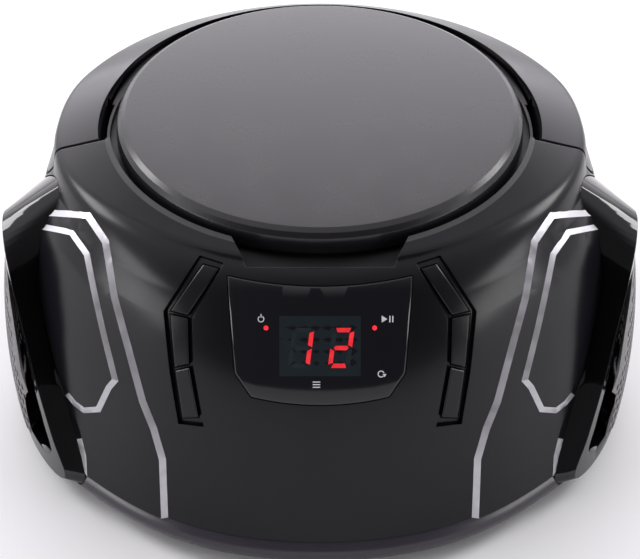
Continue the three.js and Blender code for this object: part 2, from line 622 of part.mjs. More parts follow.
for (const [name, sign] of SIDES) {
  for (const [place, outline] of Object.entries(BUTTONS)) {
    const top = sign < 0 ? outline : mirrored(outline);
    const cap = prism(top).intersect(cut(cabinetSolid(BUTTON_PROUD), cabinetSolid(-6)));
    add(`button_${name}_${place}`, cap, GLOSS_BLACK);
  }
}

// ---------------------------------------------------------------- rear controls, sockets, antenna
for (const [name, deg] of Object.entries(ROTARY_TURN)) {
  const knob = turned([[0, 105.2], [8.6, 105.2], [9, 106], [8.4, 112], [7.6, 113], [0, 113]]);
  const shaft = rod('z', 3, 97, 105.4, [0, 0]);
  const radial = join(knob, shaft).rotate([0, 90, 0]).translate([0, 0, ROTARY_Z]);
  add(`${name}_knob`, aboutTurn(radial, deg), MATT_BLACK);
  add(`${name}_potentiometer`, aboutTurn(box(86, 96.6, -8, 8, ROTARY_Z - 8, ROTARY_Z + 8), deg), STEEL);
}
add('function_slider', join(
  box(SWITCH.x - 3, SWITCH.x + 3, 92, 98.6, SWITCH.z - 1.8, SWITCH.z + 1.8),
  box(SWITCH.x - 5, SWITCH.x + 5, 90.4, 92.4, SWITCH.z - 4, SWITCH.z + 4),
).translate([-3.5, 0, 0]), MATT_BLACK);
const inlet = cut(
  acInletBlock(0),
  box(INLET.x - 9, INLET.x + 9, 86, 99, INLET.z - 5.5, INLET.z + 5.5),
);
const inletPins = [-5.4, 5.4].map((dx) => rod('y', 1.2, 85, 95, [INLET.x + dx, INLET.z]));
add('ac_inlet', join(inlet, ...inletPins), MATT_BLACK);
add('aux_jack', cut(rod('y', 5, 80, 97.5, [JACK.x, JACK.z]), rod('y', 1.8, 84, 99, [JACK.x, JACK.z])), STEEL);

const { x: AX, y: AY, z: AZ } = ANTENNA;
add('antenna_mount', cut(
  join(rod('y', 5, 84, 103.2, [AX, AZ]), rod('y', 8, 79, 84, [AX, AZ])),
  rod('y', 2.3, 90, 104, [AX, AZ]),
), MATT_BLACK);
const yoke = join(
  rod('y', 2, 91, 104, [AX, AZ]),
  rod('y', 4.6, 103.5, 104.9, [AX, AZ]),
  box(AX - 3, AX + 3, 104.5, AY + 2.6, AZ + 2, AZ + 3.6),
  box(AX - 3, AX + 3, 104.5, AY + 2.6, AZ - 3.6, AZ - 2),
  rod('z', 1.1, AZ - 3, AZ + 3, [AX, AY]),
);
add('antenna_swivel', yoke, STEEL);
const tubeEnd = AX + 92;
const tubes = [
  cut(join(
    rod('z', 2.2, AZ - 1.6, AZ + 1.6, [AX, AY]),
    box(AX, AX + 7, AY - 1.7, AY + 1.7, AZ - 1.6, AZ + 1.6),
    rod('x', 2.8, AX + 5.5, tubeEnd - 12, [AY, AZ]),
  ), rod('z', 1.4, AZ - 4, AZ + 4, [AX, AY]), rod('x', 2.3, AX + 8, tubeEnd, [AY, AZ])),
  cut(rod('x', 2, AX + 9, tubeEnd - 10, [AY, AZ]), rod('x', 1.6, AX + 11, tubeEnd, [AY, AZ])),
  join(rod('x', 1.3, AX + 12, tubeEnd - 8, [AY, AZ]), rod('x', 2.6, tubeEnd - 8.4, tubeEnd - 2, [AY, AZ])),
];
tubes.forEach((tube, i) => add(`antenna_tube_${i + 1}`, tube, STEEL));

// ---------------------------------------------------------------- disc mechanism
const PLATE = { z0: 84, z1: 86 };
const RAIL_Y = 14;
const RAIL_Z = 90.3;
const railBlock = (x) => [-RAIL_Y, RAIL_Y].map((y) => cut(
  box(x - 1.5, x + 1.5, y - 4, y + 4, PLATE.z1 - 0.5, RAIL_Z + 3.4),
  rod('x', 1.8, x - 3, x + 3, [y, RAIL_Z]),
));
const posts = [[-32, -30], [-32, 20], [70, -34], [70, 24]].map(([x, y]) => {
  const height = Math.hypot(x, y) < 60 ? 96.2 : 92;
  return rod('z', 3, PLATE.z1 - 0.5, height, [x, y]);
});
const chassis = cut(
  join(box(-36, 74, -38, 28, PLATE.z0, PLATE.z1), ...railBlock(10), ...railBlock(67), ...posts),
  rod('z', 8, 80, 90, [0, 0]),
  rod('z', 1.8, 80, 90, [PINION.x, PINION.y]),
);
add('mechanism_chassis', chassis, STEEL);
add('spindle_motor', turned([[0, 70], [12, 70], [12, 83.7], [6, 83.7], [6, 88], [0, 88]], MEDIUM), STEEL);
add('spindle_hub', turned([[0, 88.4], [2, 88.4], [2, 99.3], [15, 99.3], [15, 101.3], [7.3, 101.3], [7.3, 103.2],
  [6.2, 104.4], [0, 104.4]], MEDIUM), MATT_BLACK);
[['front', -RAIL_Y], ['rear', RAIL_Y]].forEach(([name, y]) => {
  add(`guide_rod_${name}`, rod('x', 1.5, 7, 70, [y, RAIL_Z]), STEEL);
});

const PITCH = 2 * Math.PI * PINION.r / PINION.teeth;
const TOOTH = { tip: 0.7, root: 1.3, depth: 1.5, addendum: 0.6 };
const GEAR_Z = [88.6, 91.2];

// Trapezoid tooth pointing along +Y from its root line at y = 0.
function toothPrism() {
  const shape = new THREE.Shape();
  shape.moveTo(-TOOTH.root / 2, -0.5);
  shape.lineTo(TOOTH.root / 2, -0.5);
  shape.lineTo(TOOTH.root / 2, 0);
  shape.lineTo(TOOTH.tip / 2, TOOTH.depth);
  shape.lineTo(-TOOTH.tip / 2, TOOTH.depth);
  shape.lineTo(-TOOTH.root / 2, 0);
  const depth = GEAR_Z[1] - GEAR_Z[0];
  return toSolid(new THREE.ExtrudeGeometry(shape, { depth, bevelEnabled: false }).translate(0, 0, GEAR_Z[0]));
}

const rackLineY = PINION.y + PINION.r;
const rackTeeth = [];
for (let i = -11; i <= 0; i++) {
  const x = PINION.x + (i + 0.5) * PITCH;
  rackTeeth.push(toothPrism().rotate([0, 0, 180]).translate([x, rackLineY + TOOTH.depth - TOOTH.addendum, 0]));
}
const rackRootY = rackLineY + TOOTH.depth - TOOTH.addendum;
const rack = join(box(SLED_X - 19.5, SLED_X + 19.5, rackRootY, rackRootY + 2.2, ...GEAR_Z), ...rackTeeth);
const sled = cut(
  join(
    box(SLED_X - 7, SLED_X + 7, rackRootY + 1.8, 18, 87.6, 93),
    rod('z', 6.5, 92.6, 95.2, [SLED_X, 0]),
    rack,
  ),
  ...[-RAIL_Y, RAIL_Y].map((y) => rod('x', 1.8, SLED_X - 9, SLED_X + 9, [y, RAIL_Z])),
  rod('z', 4.3, 94, 97, [SLED_X, 0]),
);
add('laser_sled', sled, MATT_BLACK);
add('laser_lens', turned([[0, 94.3], [4, 94.3], [4, 95.4], [2.4, 96.1], [0, 96.3]]).translate([SLED_X, 0, 0]),
  DARK_LENS);
const gearTeeth = Array.from({ length: PINION.teeth }, (_, i) => toothPrism()
  .translate([0, PINION.r - TOOTH.depth + TOOTH.addendum, 0]).rotate([0, 0, 360 * i / PINION.teeth]));
const pinion = join(
  rod('z', PINION.r - TOOTH.depth + TOOTH.addendum, ...GEAR_Z, [0, 0]),
  rod('z', 1.4, 83.2, GEAR_Z[0] + 1, [0, 0]),
  ...gearTeeth,
).translate([PINION.x, PINION.y, 0]);
add('sled_gear', pinion, MATT_BLACK);
add('sled_motor', rod('z', 8, 68, 82.8, [PINION.x, PINION.y]), STEEL);

// ---------------------------------------------------------------- electronics
add('main_pcb', box(-14, 58, -40, 60, 46, 47.6), GREEN_BOARD);
const ironCore = box(-56, -20, 30, 62, 40, 66);
const winding = join(box(-48, -28, 24, 68, 42, 64), rod('z', 3, 37.4, 70, [-38, 46]));
add('power_transformer', join(ironCore, winding), COPPER);

export default group;
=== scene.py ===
"""Portable CD boombox: smooth shells, keys, display and finishes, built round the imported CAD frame.

Shapes are worked out in millimetres about the axis of the disc lid, +Z up and the front towards -Y.
place() moves them into the frame, which is in metres with its origin in the middle of the footprint.
"""

import json
import math

import bpy
import numpy as np
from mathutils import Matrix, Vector
from mathutils.geometry import delaunay_2d_cdt

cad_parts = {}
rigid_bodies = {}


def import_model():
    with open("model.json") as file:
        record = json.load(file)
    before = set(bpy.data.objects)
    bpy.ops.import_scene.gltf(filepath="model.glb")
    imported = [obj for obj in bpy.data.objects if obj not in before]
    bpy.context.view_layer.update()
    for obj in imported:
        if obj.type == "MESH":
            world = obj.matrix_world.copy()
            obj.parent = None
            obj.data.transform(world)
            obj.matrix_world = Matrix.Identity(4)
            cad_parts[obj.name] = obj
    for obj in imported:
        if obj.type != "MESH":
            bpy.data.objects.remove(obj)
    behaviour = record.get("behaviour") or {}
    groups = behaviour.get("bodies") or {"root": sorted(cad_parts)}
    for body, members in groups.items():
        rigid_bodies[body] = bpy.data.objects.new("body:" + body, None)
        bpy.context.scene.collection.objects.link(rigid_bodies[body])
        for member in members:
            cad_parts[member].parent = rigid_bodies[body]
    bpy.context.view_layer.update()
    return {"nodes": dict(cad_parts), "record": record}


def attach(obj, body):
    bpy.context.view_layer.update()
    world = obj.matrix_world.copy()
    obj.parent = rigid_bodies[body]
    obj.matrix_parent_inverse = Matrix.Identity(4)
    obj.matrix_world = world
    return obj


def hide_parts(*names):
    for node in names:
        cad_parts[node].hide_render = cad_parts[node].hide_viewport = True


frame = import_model()

# ---------------------------------------------------------------- driving dimensions, mm
GAP = 0.3
WALL = 3.0
LID_AXIS_Y = 7.0
LID_R = 74.8
WELL_R = 77.5
LEDGE_Z = 104.5
SEAM_Z = 14.0
FOOT_H = 2.5
HANDLE_PIVOT = (0.0, 100.5)          # y, z
HANDLE_IN_R = 79.5
HANDLE_BAND = (101.0, 0.33, 125.0, -0.053)   # shelf height, its fall per mm, outer radius, tilt
HUB = (16.7, 77.2, 0.242, 112.0)     # radius at that distance from the middle, lost radius per mm, outer end
RING_TOP_Z = 107.0                   # thin wall between the lid recess and the handle
RING_GAP = 0.9                       # between that wall and the handle
RING_LEAN = 6.5                      # how much thicker the wall grows behind
SEAM = 0.7                           # how far the handle stands back from the cover
LID_PIVOT = (66.0, 108.5)            # y, z
DRAW_ANGLE = math.radians(40)        # the front details are moulded along this direction
POD_FACE = (7.9, -18.9, 108.75)      # x, y and radius of the upright cylinder under the pod rims
ROUND = 160                          # sides of large round pieces
SIDES = (("left", -1), ("right", 1))


# ---------------------------------------------------------------- meshes and booleans
def solid(verts, faces):
    """A closed tool or piece, still in millimetres, with its faces pointing out."""
    mesh = bpy.data.meshes.new("solid")
    mesh.from_pydata([tuple(v) for v in np.asarray(verts, float)], [], [tuple(f) for f in faces])
    mesh.update()
    obj = bpy.data.objects.new("solid", mesh)
    bpy.context.scene.collection.objects.link(obj)
    if signed_volume(mesh) < 0:
        mesh.flip_normals()
    return obj


def signed_volume(mesh):
    mesh.calc_loop_triangles()
    co = np.array([v.co for v in mesh.vertices], float)
    tri = np.array([t.vertices for t in mesh.loop_triangles])
    a, b, c = co[tri[:, 0]], co[tri[:, 1]], co[tri[:, 2]]
    return float(np.einsum("ij,ij->i", a, np.cross(b, c)).sum() / 6)


def combine(base, operation, tools):
    for tool in tools:
        modifier = base.modifiers.new("join", "BOOLEAN")
        modifier.operation = operation
        modifier.solver = "MANIFOLD"
        modifier.object = tool
    evaluated = base.evaluated_get(bpy.context.evaluated_depsgraph_get())
    mesh = bpy.data.meshes.new_from_object(evaluated)
    base.modifiers.clear()
    base.data = mesh
    return base


def copied(obj):
    twin = bpy.data.objects.new("solid", obj.data.copy())
    bpy.context.scene.collection.objects.link(twin)
    return twin


def cut(base, *tools):
    return combine(copied(base), "DIFFERENCE", tools)


def join(base, *tools):
    return combine(copied(base), "UNION", tools)


def common(base, *tools):
    return combine(copied(base), "INTERSECT", tools)


def box(x0, x1, y0, y1, z0, z1):
    verts = [(x, y, z) for z in (z0, z1) for y in (y0, y1) for x in (x0, x1)]
    return solid(verts, [(0, 2, 3, 1), (4, 5, 7, 6), (0, 1, 5, 4), (2, 6, 7, 3), (0, 4, 6, 2), (1, 3, 7, 5)])


def loft(rings, pole=None):
    """Closed rings of points, all with the same count, skinned in turn; capped flat, or closed to a pole."""
    rings = [np.asarray(r, float) for r in rings]
    n = len(rings[0])
    verts = np.concatenate(rings)
    faces = [
        (k * n + i, k * n + (i + 1) % n, (k + 1) * n + (i + 1) % n, (k + 1) * n + i)
        for k in range(len(rings) - 1)
        for i in range(n)
    ]
    top = (len(rings) - 1) * n
    faces.append(tuple(reversed(range(n))))
    if pole is None:
        faces.append(tuple(range(top, top + n)))
    else:
        verts = np.vstack([verts, pole])
        faces += [(top + i, top + (i + 1) % n, len(verts) - 1) for i in range(n)]
    return solid(verts, faces)


def turned(profile, sides=ROUND, place=None):
    """A [radius, height] profile turned about Z; it starts and ends on the axis or closes on itself."""
    angles = np.arange(sides) * 2 * math.pi / sides
    verts, rows = [], []
    for r, z in profile:
        if r == 0:
            rows.append([len(verts)] * sides)
            verts.append((0, 0, z))
        else:
            rows.append(list(range(len(verts), len(verts) + sides)))
            verts += [(r * math.cos(a), r * math.sin(a), z) for a in angles]
    if profile[0][0] != 0:
        rows.append(rows[0])
    faces = []
    for low, high in zip(rows, rows[1:]):
        for i in range(sides):
            j = (i + 1) % sides
            corners = [low[i], low[j], high[j], high[i]]
            face = [c for k, c in enumerate(corners) if c != corners[k - 1]]
            if len(face) > 2:
                faces.append(face)
    verts = np.array(verts, float)
    return solid(verts if place is None else place(verts), faces)


def along_x(centre_y, centre_z, sign=1):
    """Lays a turned piece along X, with its height along +X or -X."""
    return lambda v: np.stack([sign * v[:, 2], v[:, 1] + centre_y, v[:, 0] * -sign + centre_z], 1)


def along_y(centre_x, centre_z):
    return lambda v: np.stack([v[:, 0] + centre_x, v[:, 2], -v[:, 1] + centre_z], 1)


def at(x, y, z=0):
    return lambda v: v + (x, y, z)


def rod(radius, low, high, place=None, sides=48):
    return turned([(0, low), (radius, low), (radius, high), (0, high)], sides, place)


# ---------------------------------------------------------------- shape of the cabinet
FRONT_TOP_Z = 109.3
SIDE_FRONT = ((9, 40, 60, 90, 98, 112), (122, 116, 113, 108, 104, 101))
SIDE_REAR = ((14, 85, 98, 112), (104, 103, 102, 101))
SIDE_TURN = ((9, 70), (0.15, -0.15))


def round_max(a, b, k):
    h = np.maximum(k - np.abs(a - b), 0) / k
    return np.maximum(a, b) + h * h * k / 4


def cabinet_field(p):
    """Signed distance, roughly, to the outside of the cabinet: negative inside."""
    x, y, z = p[..., 0], p[..., 1], p[..., 2]
    rho = np.hypot(x, y) + 1e-9
    forward = -y / rho
    drop = np.maximum(FRONT_TOP_Z - z, 0)
    t = (-32.8 + np.sqrt(32.8**2 + 250 * drop)) / 125
    reach = 85 + 59.4 * t - 22.6 * t * t
    bow = 100 + 50 * np.clip((98 - z) / 84, 0, 1)
    bow_y = bow - reach
    front = np.where(y < bow_y, np.hypot(x, y - bow_y) - bow, np.abs(x) - bow)
    w = np.clip((forward - np.interp(z, *SIDE_TURN)) / 0.5, 0, 1)
    share = w * w * (3 - 2 * w)
    side_r = np.interp(z, *SIDE_FRONT) + 120 * np.maximum(0, forward - 0.72) ** 2
    rear_r = np.interp(z, *SIDE_REAR)
    side = rho - (rear_r + (side_r - rear_r) * share)
    rim_z = 104 - 0.053 * (y + 10)
    dome = 0.95 * (z - (112 - (rho - WELL_R) * (112 - rim_z) / 24.5))
    return round_max(round_max(front, side, 9), dome, 2.5)


def field_normal(p):
    step = 0.4
    gradient = np.stack([
        cabinet_field(p + d) - cabinet_field(p - d) for d in np.eye(3) * step
    ], -1)
    return gradient / (np.linalg.norm(gradient, axis=-1, keepdims=True) + 1e-12)


def march(start, direction, near, far, offset=0.0):
    """Where each line start + t * direction leaves the skin moved out by offset."""
    near = np.full(np.broadcast_shapes(start.shape, direction.shape)[:-1], float(near))
    far = np.full(near.shape, float(far))
    for _ in range(34):
        middle = (near + far) / 2
        outside = cabinet_field(start + middle[..., None] * direction) > offset
        far = np.where(outside, middle, far)
        near = np.where(outside, near, middle)
    return start + near[..., None] * direction


RAY_HEART = np.array([0.0, 0.0, 45.0])


def cabinet_solid(offset, turns=200, pitches=64):
    turn = np.arange(turns) * 2 * math.pi / turns
    pitch = np.radians(np.concatenate([np.linspace(-17.5, 20, pitches // 2), np.linspace(21, 50, pitches)]))
    rings = []
    for a in pitch:
        ray = np.stack([
            np.cos(turn) * math.cos(a), np.sin(turn) * math.cos(a), np.full(turns, math.sin(a)),
        ], 1)
        rings.append(march(RAY_HEART, ray, 5, 190, offset))
    foot = rings[0].copy()
    foot[:, 2] = 5
    crown = march(RAY_HEART, np.array([0.0, 0.0, 1.0]), 5, 190, offset)
    return loft([foot, *rings], crown)


def plan_ring(grow, z, turns=240):
    """Plan outline of the cabinet at the seam, grown by grow, at height z."""
    turn = np.arange(turns) * 2 * math.pi / turns
    ray = np.stack([np.cos(turn), np.sin(turn), np.zeros(turns)], 1)
    edge = march(np.array([0.0, 0.0, SEAM_Z]), ray, 5, 190)
    ring = edge + grow * ray
    ring[:, 2] = z
    return ring


# ---------------------------------------------------------------- details laid on the skin
AXIS_V = np.array([0.0, math.sin(DRAW_ANGLE), math.cos(DRAW_ANGLE)])
AXIS_W = np.array([0.0, -math.cos(DRAW_ANGLE), math.sin(DRAW_ANGLE)])


def on_skin(uv, offset):
    """Points of the skin moved out by offset, seen at (u, v) along the moulding direction."""
    uv = np.asarray(uv, float)
    start = np.outer(uv[:, 0], (1, 0, 0)) + np.outer(uv[:, 1], AXIS_V)
    return march(start, AXIS_W, 40, 160, offset)


def prism(outline, w0=102.0, w1=150.0):
    uv = np.asarray(outline, float)
    flat = np.outer(uv[:, 0], (1, 0, 0)) + np.outer(uv[:, 1], AXIS_V)
    return loft([flat + w0 * AXIS_W, flat + w1 * AXIS_W])


def mirrored(outline):
    return [(-u, v) for u, v in reversed(outline)]


def offset_outline(outline, grow):
    p = np.asarray(outline, float)
    before, after = np.roll(p, 1, 0), np.roll(p, -1, 0)
    area = np.sum(p[:, 0] * after[:, 1] - after[:, 0] * p[:, 1])
    e0, e1 = p - before, after - p
    e0 /= np.linalg.norm(e0, axis=1, keepdims=True)
    e1 /= np.linalg.norm(e1, axis=1, keepdims=True)
    n0 = np.stack([e0[:, 1], -e0[:, 0]], 1) * np.sign(area)
    n1 = np.stack([e1[:, 1], -e1[:, 0]], 1) * np.sign(area)
    miter = n0 + n1
    return p + miter * (2 * grow / np.sum(miter**2, 1))[:, None]


def split_edges(outline, counts):
    """Each edge of the outline divided into the given number of steps."""
    p = np.asarray(outline, float)
    after = np.roll(p, -1, 0)
    return np.concatenate([a + np.outer(np.arange(c) / c, b - a) for a, b, c in zip(p, after, counts)])


def inside(points, outline):
    x, y = points[:, 0], points[:, 1]
    p, q = np.asarray(outline, float), np.roll(np.asarray(outline, float), -1, 0)
    odd = np.zeros(len(points), bool)
    for (x0, y0), (x1, y1) in zip(p, q):
        if y0 != y1:
            odd ^= ((y0 > y) != (y1 > y)) & (x < (x1 - x0) * (y - y0) / (y1 - y0) + x0)
    return odd


def filled(ring, spacing):
    """Triangles over a closed ring, with a grid of points inside it: the new points and the faces."""
    ring = np.asarray(ring, float)
    low, high = ring.min(0), ring.max(0)
    grid = np.stack(np.meshgrid(*[np.arange(a + spacing / 2, b, spacing) for a, b in zip(low, high)]), -1)
    grid = grid.reshape(-1, 2)
    clear = np.min(np.linalg.norm(grid[:, None] - ring[None], axis=2), axis=1) > 0.5 * spacing
    grid = grid[inside(grid, ring) & clear]
    points = np.concatenate([ring, grid])
    found = delaunay_2d_cdt([Vector(p) for p in points], [], [list(range(len(ring)))], 1, 1e-5)
    back = [origin[0] for origin in found[3]]
    return grid, [tuple(back[i] for i in face) for face in found[2]]


def plate(outline, levels, spacing=4.0):
    """A solid that lies on the skin: outline pulled in by each level's inset, at that level's offset."""
    outline = np.asarray(outline, float)
    lengths = np.linalg.norm(np.roll(outline, -1, 0) - outline, axis=1)
    counts = np.maximum(1, np.ceil(lengths / spacing)).astype(int)
    rings = [split_edges(offset_outline(outline, -inset), counts) for inset, _ in levels]
    n = len(rings[0])
    verts = [on_skin(ring, offset) for ring, (_, offset) in zip(rings, levels)]
    faces = [
        (k * n + i, k * n + (i + 1) % n, (k + 1) * n + (i + 1) % n, (k + 1) * n + i)
        for k in range(len(levels) - 1)
        for i in range(n)
    ]
    total = n * len(levels)
    for k, backwards in ((0, True), (len(levels) - 1, False)):
        grid, triangles = filled(rings[k], spacing)
        verts.append(on_skin(grid, levels[k][1]))
        for face in triangles:
            real = [k * n + i if i < n else total + i - n for i in face]
            faces.append(real[::-1] if backwards else real)
        total += len(grid)
    clockwise = np.sum(
        outline[:, 0] * np.roll(outline[:, 1], -1) - np.roll(outline[:, 0], -1) * outline[:, 1]
    ) < 0
    if clockwise:
        caps = len(faces)
        walls = (len(levels) - 1) * n
        faces = [f[::-1] for f in faces[:walls]] + faces[walls:caps]
    return solid(np.concatenate(verts), faces)


# ---------------------------------------------------------------- finished pieces
def smooth(mesh, normal_of=None, offsets=(0.0,), crease=32):
    """Smooth shading with creases; faces on the cabinet's skin take the skin's own normals."""
    mesh.polygons.foreach_set("use_smooth", np.ones(len(mesh.polygons), bool))
    mesh.set_sharp_from_angle(angle=math.radians(crease))
    if normal_of is None:
        return
    corners = np.array([n.vector for n in mesh.corner_normals], float)
    co = np.array([v.co for v in mesh.vertices], float)
    centre = np.array([p.center for p in mesh.polygons], float)
    facing = np.array([p.normal for p in mesh.polygons], float)
    level = cabinet_field(centre)
    near = np.min([np.abs(level - o) for o in offsets], axis=0) < 0.12
    near &= np.einsum("ij,ij->i", facing, normal_of(centre)) > 0.9
    for polygon, on in zip(mesh.polygons, near):
        if on:
            loops = list(polygon.loop_indices)
            corners[loops] = normal_of(co[list(polygon.vertices)])
    mesh.normals_split_custom_set(corners)


def piece(name, obj, body, material, replaces=(), skin_offsets=None, crease=32):
    """Names a finished solid, moves it into the frame and hangs it on its body."""
    obj.name = name
    obj.data.name = name
    smooth(obj.data, field_normal if skin_offsets else None, skin_offsets or (), crease)
    co = np.zeros(len(obj.data.vertices) * 3)
    obj.data.vertices.foreach_get("co", co)
    co = (co.reshape(-1, 3) + (0, LID_AXIS_Y, 0)) / 1000
    obj.data.vertices.foreach_set("co", co.ravel())
    obj.data.update()
    obj.data.materials.clear()
    obj.data.materials.append(material)
    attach(obj, body)
    if replaces:
        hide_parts(*replaces)
    return obj



# ---------------------------------------------------------------- materials
def new_material(name):
    material = bpy.data.materials.new(name)
    material.use_nodes = True
    tree = material.node_tree
    shader = tree.nodes["Principled BSDF"]
    return material, tree, shader


def node(tree, kind, **settings):
    made = tree.nodes.new(kind)
    for key, value in settings.items():
        if key in made.inputs:
            made.inputs[key].default_value = value
        else:
            setattr(made, key, value)
    return made


def noise(tree, scale, detail=3.0, stretch=(1, 1, 1)):
    coordinates = node(tree, "ShaderNodeTexCoord")
    mapping = node(tree, "ShaderNodeMapping")
    mapping.inputs["Scale"].default_value = stretch
    made = node(tree, "ShaderNodeTexNoise", Scale=scale, Detail=detail)
    tree.links.new(coordinates.outputs["Object"], mapping.inputs["Vector"])
    tree.links.new(mapping.outputs["Vector"], made.inputs["Vector"])
    return made.outputs["Fac"]


def ranged(tree, value, low, high):
    made = node(tree, "ShaderNodeMapRange")
    made.inputs["From Min"].default_value = 0.3
    made.inputs["From Max"].default_value = 0.7
    made.inputs["To Min"].default_value = low
    made.inputs["To Max"].default_value = high
    tree.links.new(value, made.inputs["Value"])
    return made.outputs["Result"]


def two_tone(tree, value, dark, light):
    made = node(tree, "ShaderNodeMix", data_type="RGBA")
    tree.links.new(value, made.inputs[0])
    made.inputs[6].default_value = (*dark, 1)
    made.inputs[7].default_value = (*light, 1)
    return made.outputs[2]


def plastic(name, dark, light, rough, grain=0.0, grain_scale=900.0, edge=0.35, coat=0.0, shine=0.5):
    """Moulded plastic: faint flow marks in colour and gloss, an optional moulded grain, soft arrises."""
    material, tree, shader = new_material(name)
    shader.inputs["Specular IOR Level"].default_value = shine
    flow = noise(tree, 22.0, 4.0)
    tree.links.new(two_tone(tree, flow, dark, light), shader.inputs["Base Color"])
    smears = noise(tree, 60.0, 5.0, (1, 1, 0.4))
    tree.links.new(ranged(tree, smears, rough * 0.88, rough * 1.12), shader.inputs["Roughness"])
    shader.inputs["Coat Weight"].default_value = coat
    shader.inputs["Coat Roughness"].default_value = 0.04
    normal = None
    if edge:
        rounded = node(tree, "ShaderNodeBevel", samples=4)
        rounded.inputs["Radius"].default_value = edge / 1000
        normal = rounded.outputs["Normal"]
    bump = node(tree, "ShaderNodeBump")
    bump.inputs["Strength"].default_value = grain if grain else 0.04
    bump.inputs["Distance"].default_value = 0.0002 if grain else 0.0001
    tree.links.new(noise(tree, grain_scale if grain else 160.0, 2.0), bump.inputs["Height"])
    if normal:
        tree.links.new(normal, bump.inputs["Normal"])
    tree.links.new(bump.outputs["Normal"], shader.inputs["Normal"])
    return material


def metal(name, dark, light, rough, stretch=(1, 1, 1), scale=700.0):
    """Drawn or brushed metal: streaks along the long direction, with a little tarnish."""
    material, tree, shader = new_material(name)
    shader.inputs["Metallic"].default_value = 1.0
    tarnish = noise(tree, 35.0, 4.0)
    tree.links.new(two_tone(tree, tarnish, dark, light), shader.inputs["Base Color"])
    streaks = noise(tree, scale, 3.0, stretch)
    tree.links.new(ranged(tree, streaks, rough * 0.8, rough * 1.25), shader.inputs["Roughness"])
    bump = node(tree, "ShaderNodeBump")
    bump.inputs["Strength"].default_value = 0.08
    bump.inputs["Distance"].default_value = 0.0001
    tree.links.new(streaks, bump.inputs["Height"])
    tree.links.new(bump.outputs["Normal"], shader.inputs["Normal"])
    return material


def glowing(name, dark, light, strength):
    """A lit segment or lamp behind smoked plastic: its glow varies a little at random across the light pipe.
    """
    material, tree, shader = new_material(name)
    glow = noise(tree, 500.0, 2.0)
    colour = two_tone(tree, ranged(tree, glow, 0.0, 1.0), dark, light)
    tree.links.new(colour, shader.inputs["Base Color"])
    tree.links.new(colour, shader.inputs["Emission Color"])
    shader.inputs["Emission Strength"].default_value = strength
    shader.inputs["Roughness"].default_value = 0.3
    return material


GLOSS = plastic("cover_black", (0.0045, 0.0043, 0.006), (0.006, 0.0058, 0.008), 0.24, edge=0.3, shine=0.24)
LID_FINISH = plastic("lid_black", (0.010, 0.0095, 0.011), (0.013, 0.0125, 0.0145), 0.26, edge=0.3, shine=0.5)
POD_FINISH = plastic("pod_black", (0.004, 0.004, 0.0045), (0.006, 0.006, 0.0065), 0.06, edge=0.45)
# Bright silver metal for the sloping walls of the raised panels: a painted highlight standing in for the
# reflections of the lights on those black gloss walls.
BEVEL_PAINTED_HIGHLIGHT = metal("bevel_painted_highlight", (0.56, 0.55, 0.58), (0.66, 0.65, 0.68), 0.5, (1, 1, 1), 260.0)
CASE_FINISH = plastic("case_grey", (0.030, 0.027, 0.036), (0.038, 0.034, 0.045), 0.30, edge=0.3)
KEY_FINISH = plastic("key_black", (0.005, 0.005, 0.006), (0.007, 0.007, 0.008), 0.22, edge=0.25, shine=0.25)
MATT = plastic("matt_black", (0.010, 0.010, 0.011), (0.020, 0.020, 0.022), 0.55, grain=0.35)
LENS_FINISH = plastic("smoked_lens", (0.004, 0.004, 0.006), (0.006, 0.006, 0.009), 0.06, edge=0.25)
WINDOW_FINISH = plastic("display_window", (0.010, 0.016, 0.020), (0.013, 0.020, 0.024), 0.12, edge=0.0)
DARK_SEGMENT = plastic("unlit_segment", (0.014, 0.023, 0.027), (0.018, 0.028, 0.033), 0.2, edge=0.0)
LIT_RED = glowing("lit_red", (0.60, 0.012, 0.02), (0.85, 0.03, 0.04), 0.5)
LAMP_RED = glowing("lamp_red", (0.7, 0.01, 0.02), (0.95, 0.03, 0.05), 1.0)
PRINT = plastic("white_print", (0.6, 0.6, 0.62), (0.8, 0.8, 0.82), 0.5, edge=0.0)
RUBBER = plastic("foot_rubber", (0.012, 0.012, 0.012), (0.022, 0.022, 0.022), 0.85, grain=0.5, edge=0.0)
PAPER = plastic("cone_paper", (0.010, 0.010, 0.012), (0.022, 0.021, 0.024), 0.8,
                grain=0.6, grain_scale=1800, edge=0.0)
BOARD = plastic("board_green", (0.010, 0.060, 0.026), (0.016, 0.095, 0.040), 0.35,
                grain=0.2, grain_scale=2600, edge=0.0)
STEEL = metal("bright_steel", (0.48, 0.48, 0.50), (0.66, 0.66, 0.67), 0.22, (0.1, 1, 1))
GRILLE_METAL = metal("grille_metal", (0.13, 0.125, 0.13), (0.18, 0.175, 0.18), 0.4)
COPPER = metal("copper_iron", (0.35, 0.15, 0.06), (0.62, 0.28, 0.12), 0.35, (1, 0.1, 1))

SLOT_FINISH = {
    "black_gloss": GLOSS, "case_grey": CASE_FINISH, "black_matt": MATT, "lens_dark": LENS_FINISH,
    "grille_metal": GRILLE_METAL, "steel": STEEL, "board": BOARD, "rubber_black": RUBBER,
    "cone_paper": PAPER, "copper_iron": COPPER,
}


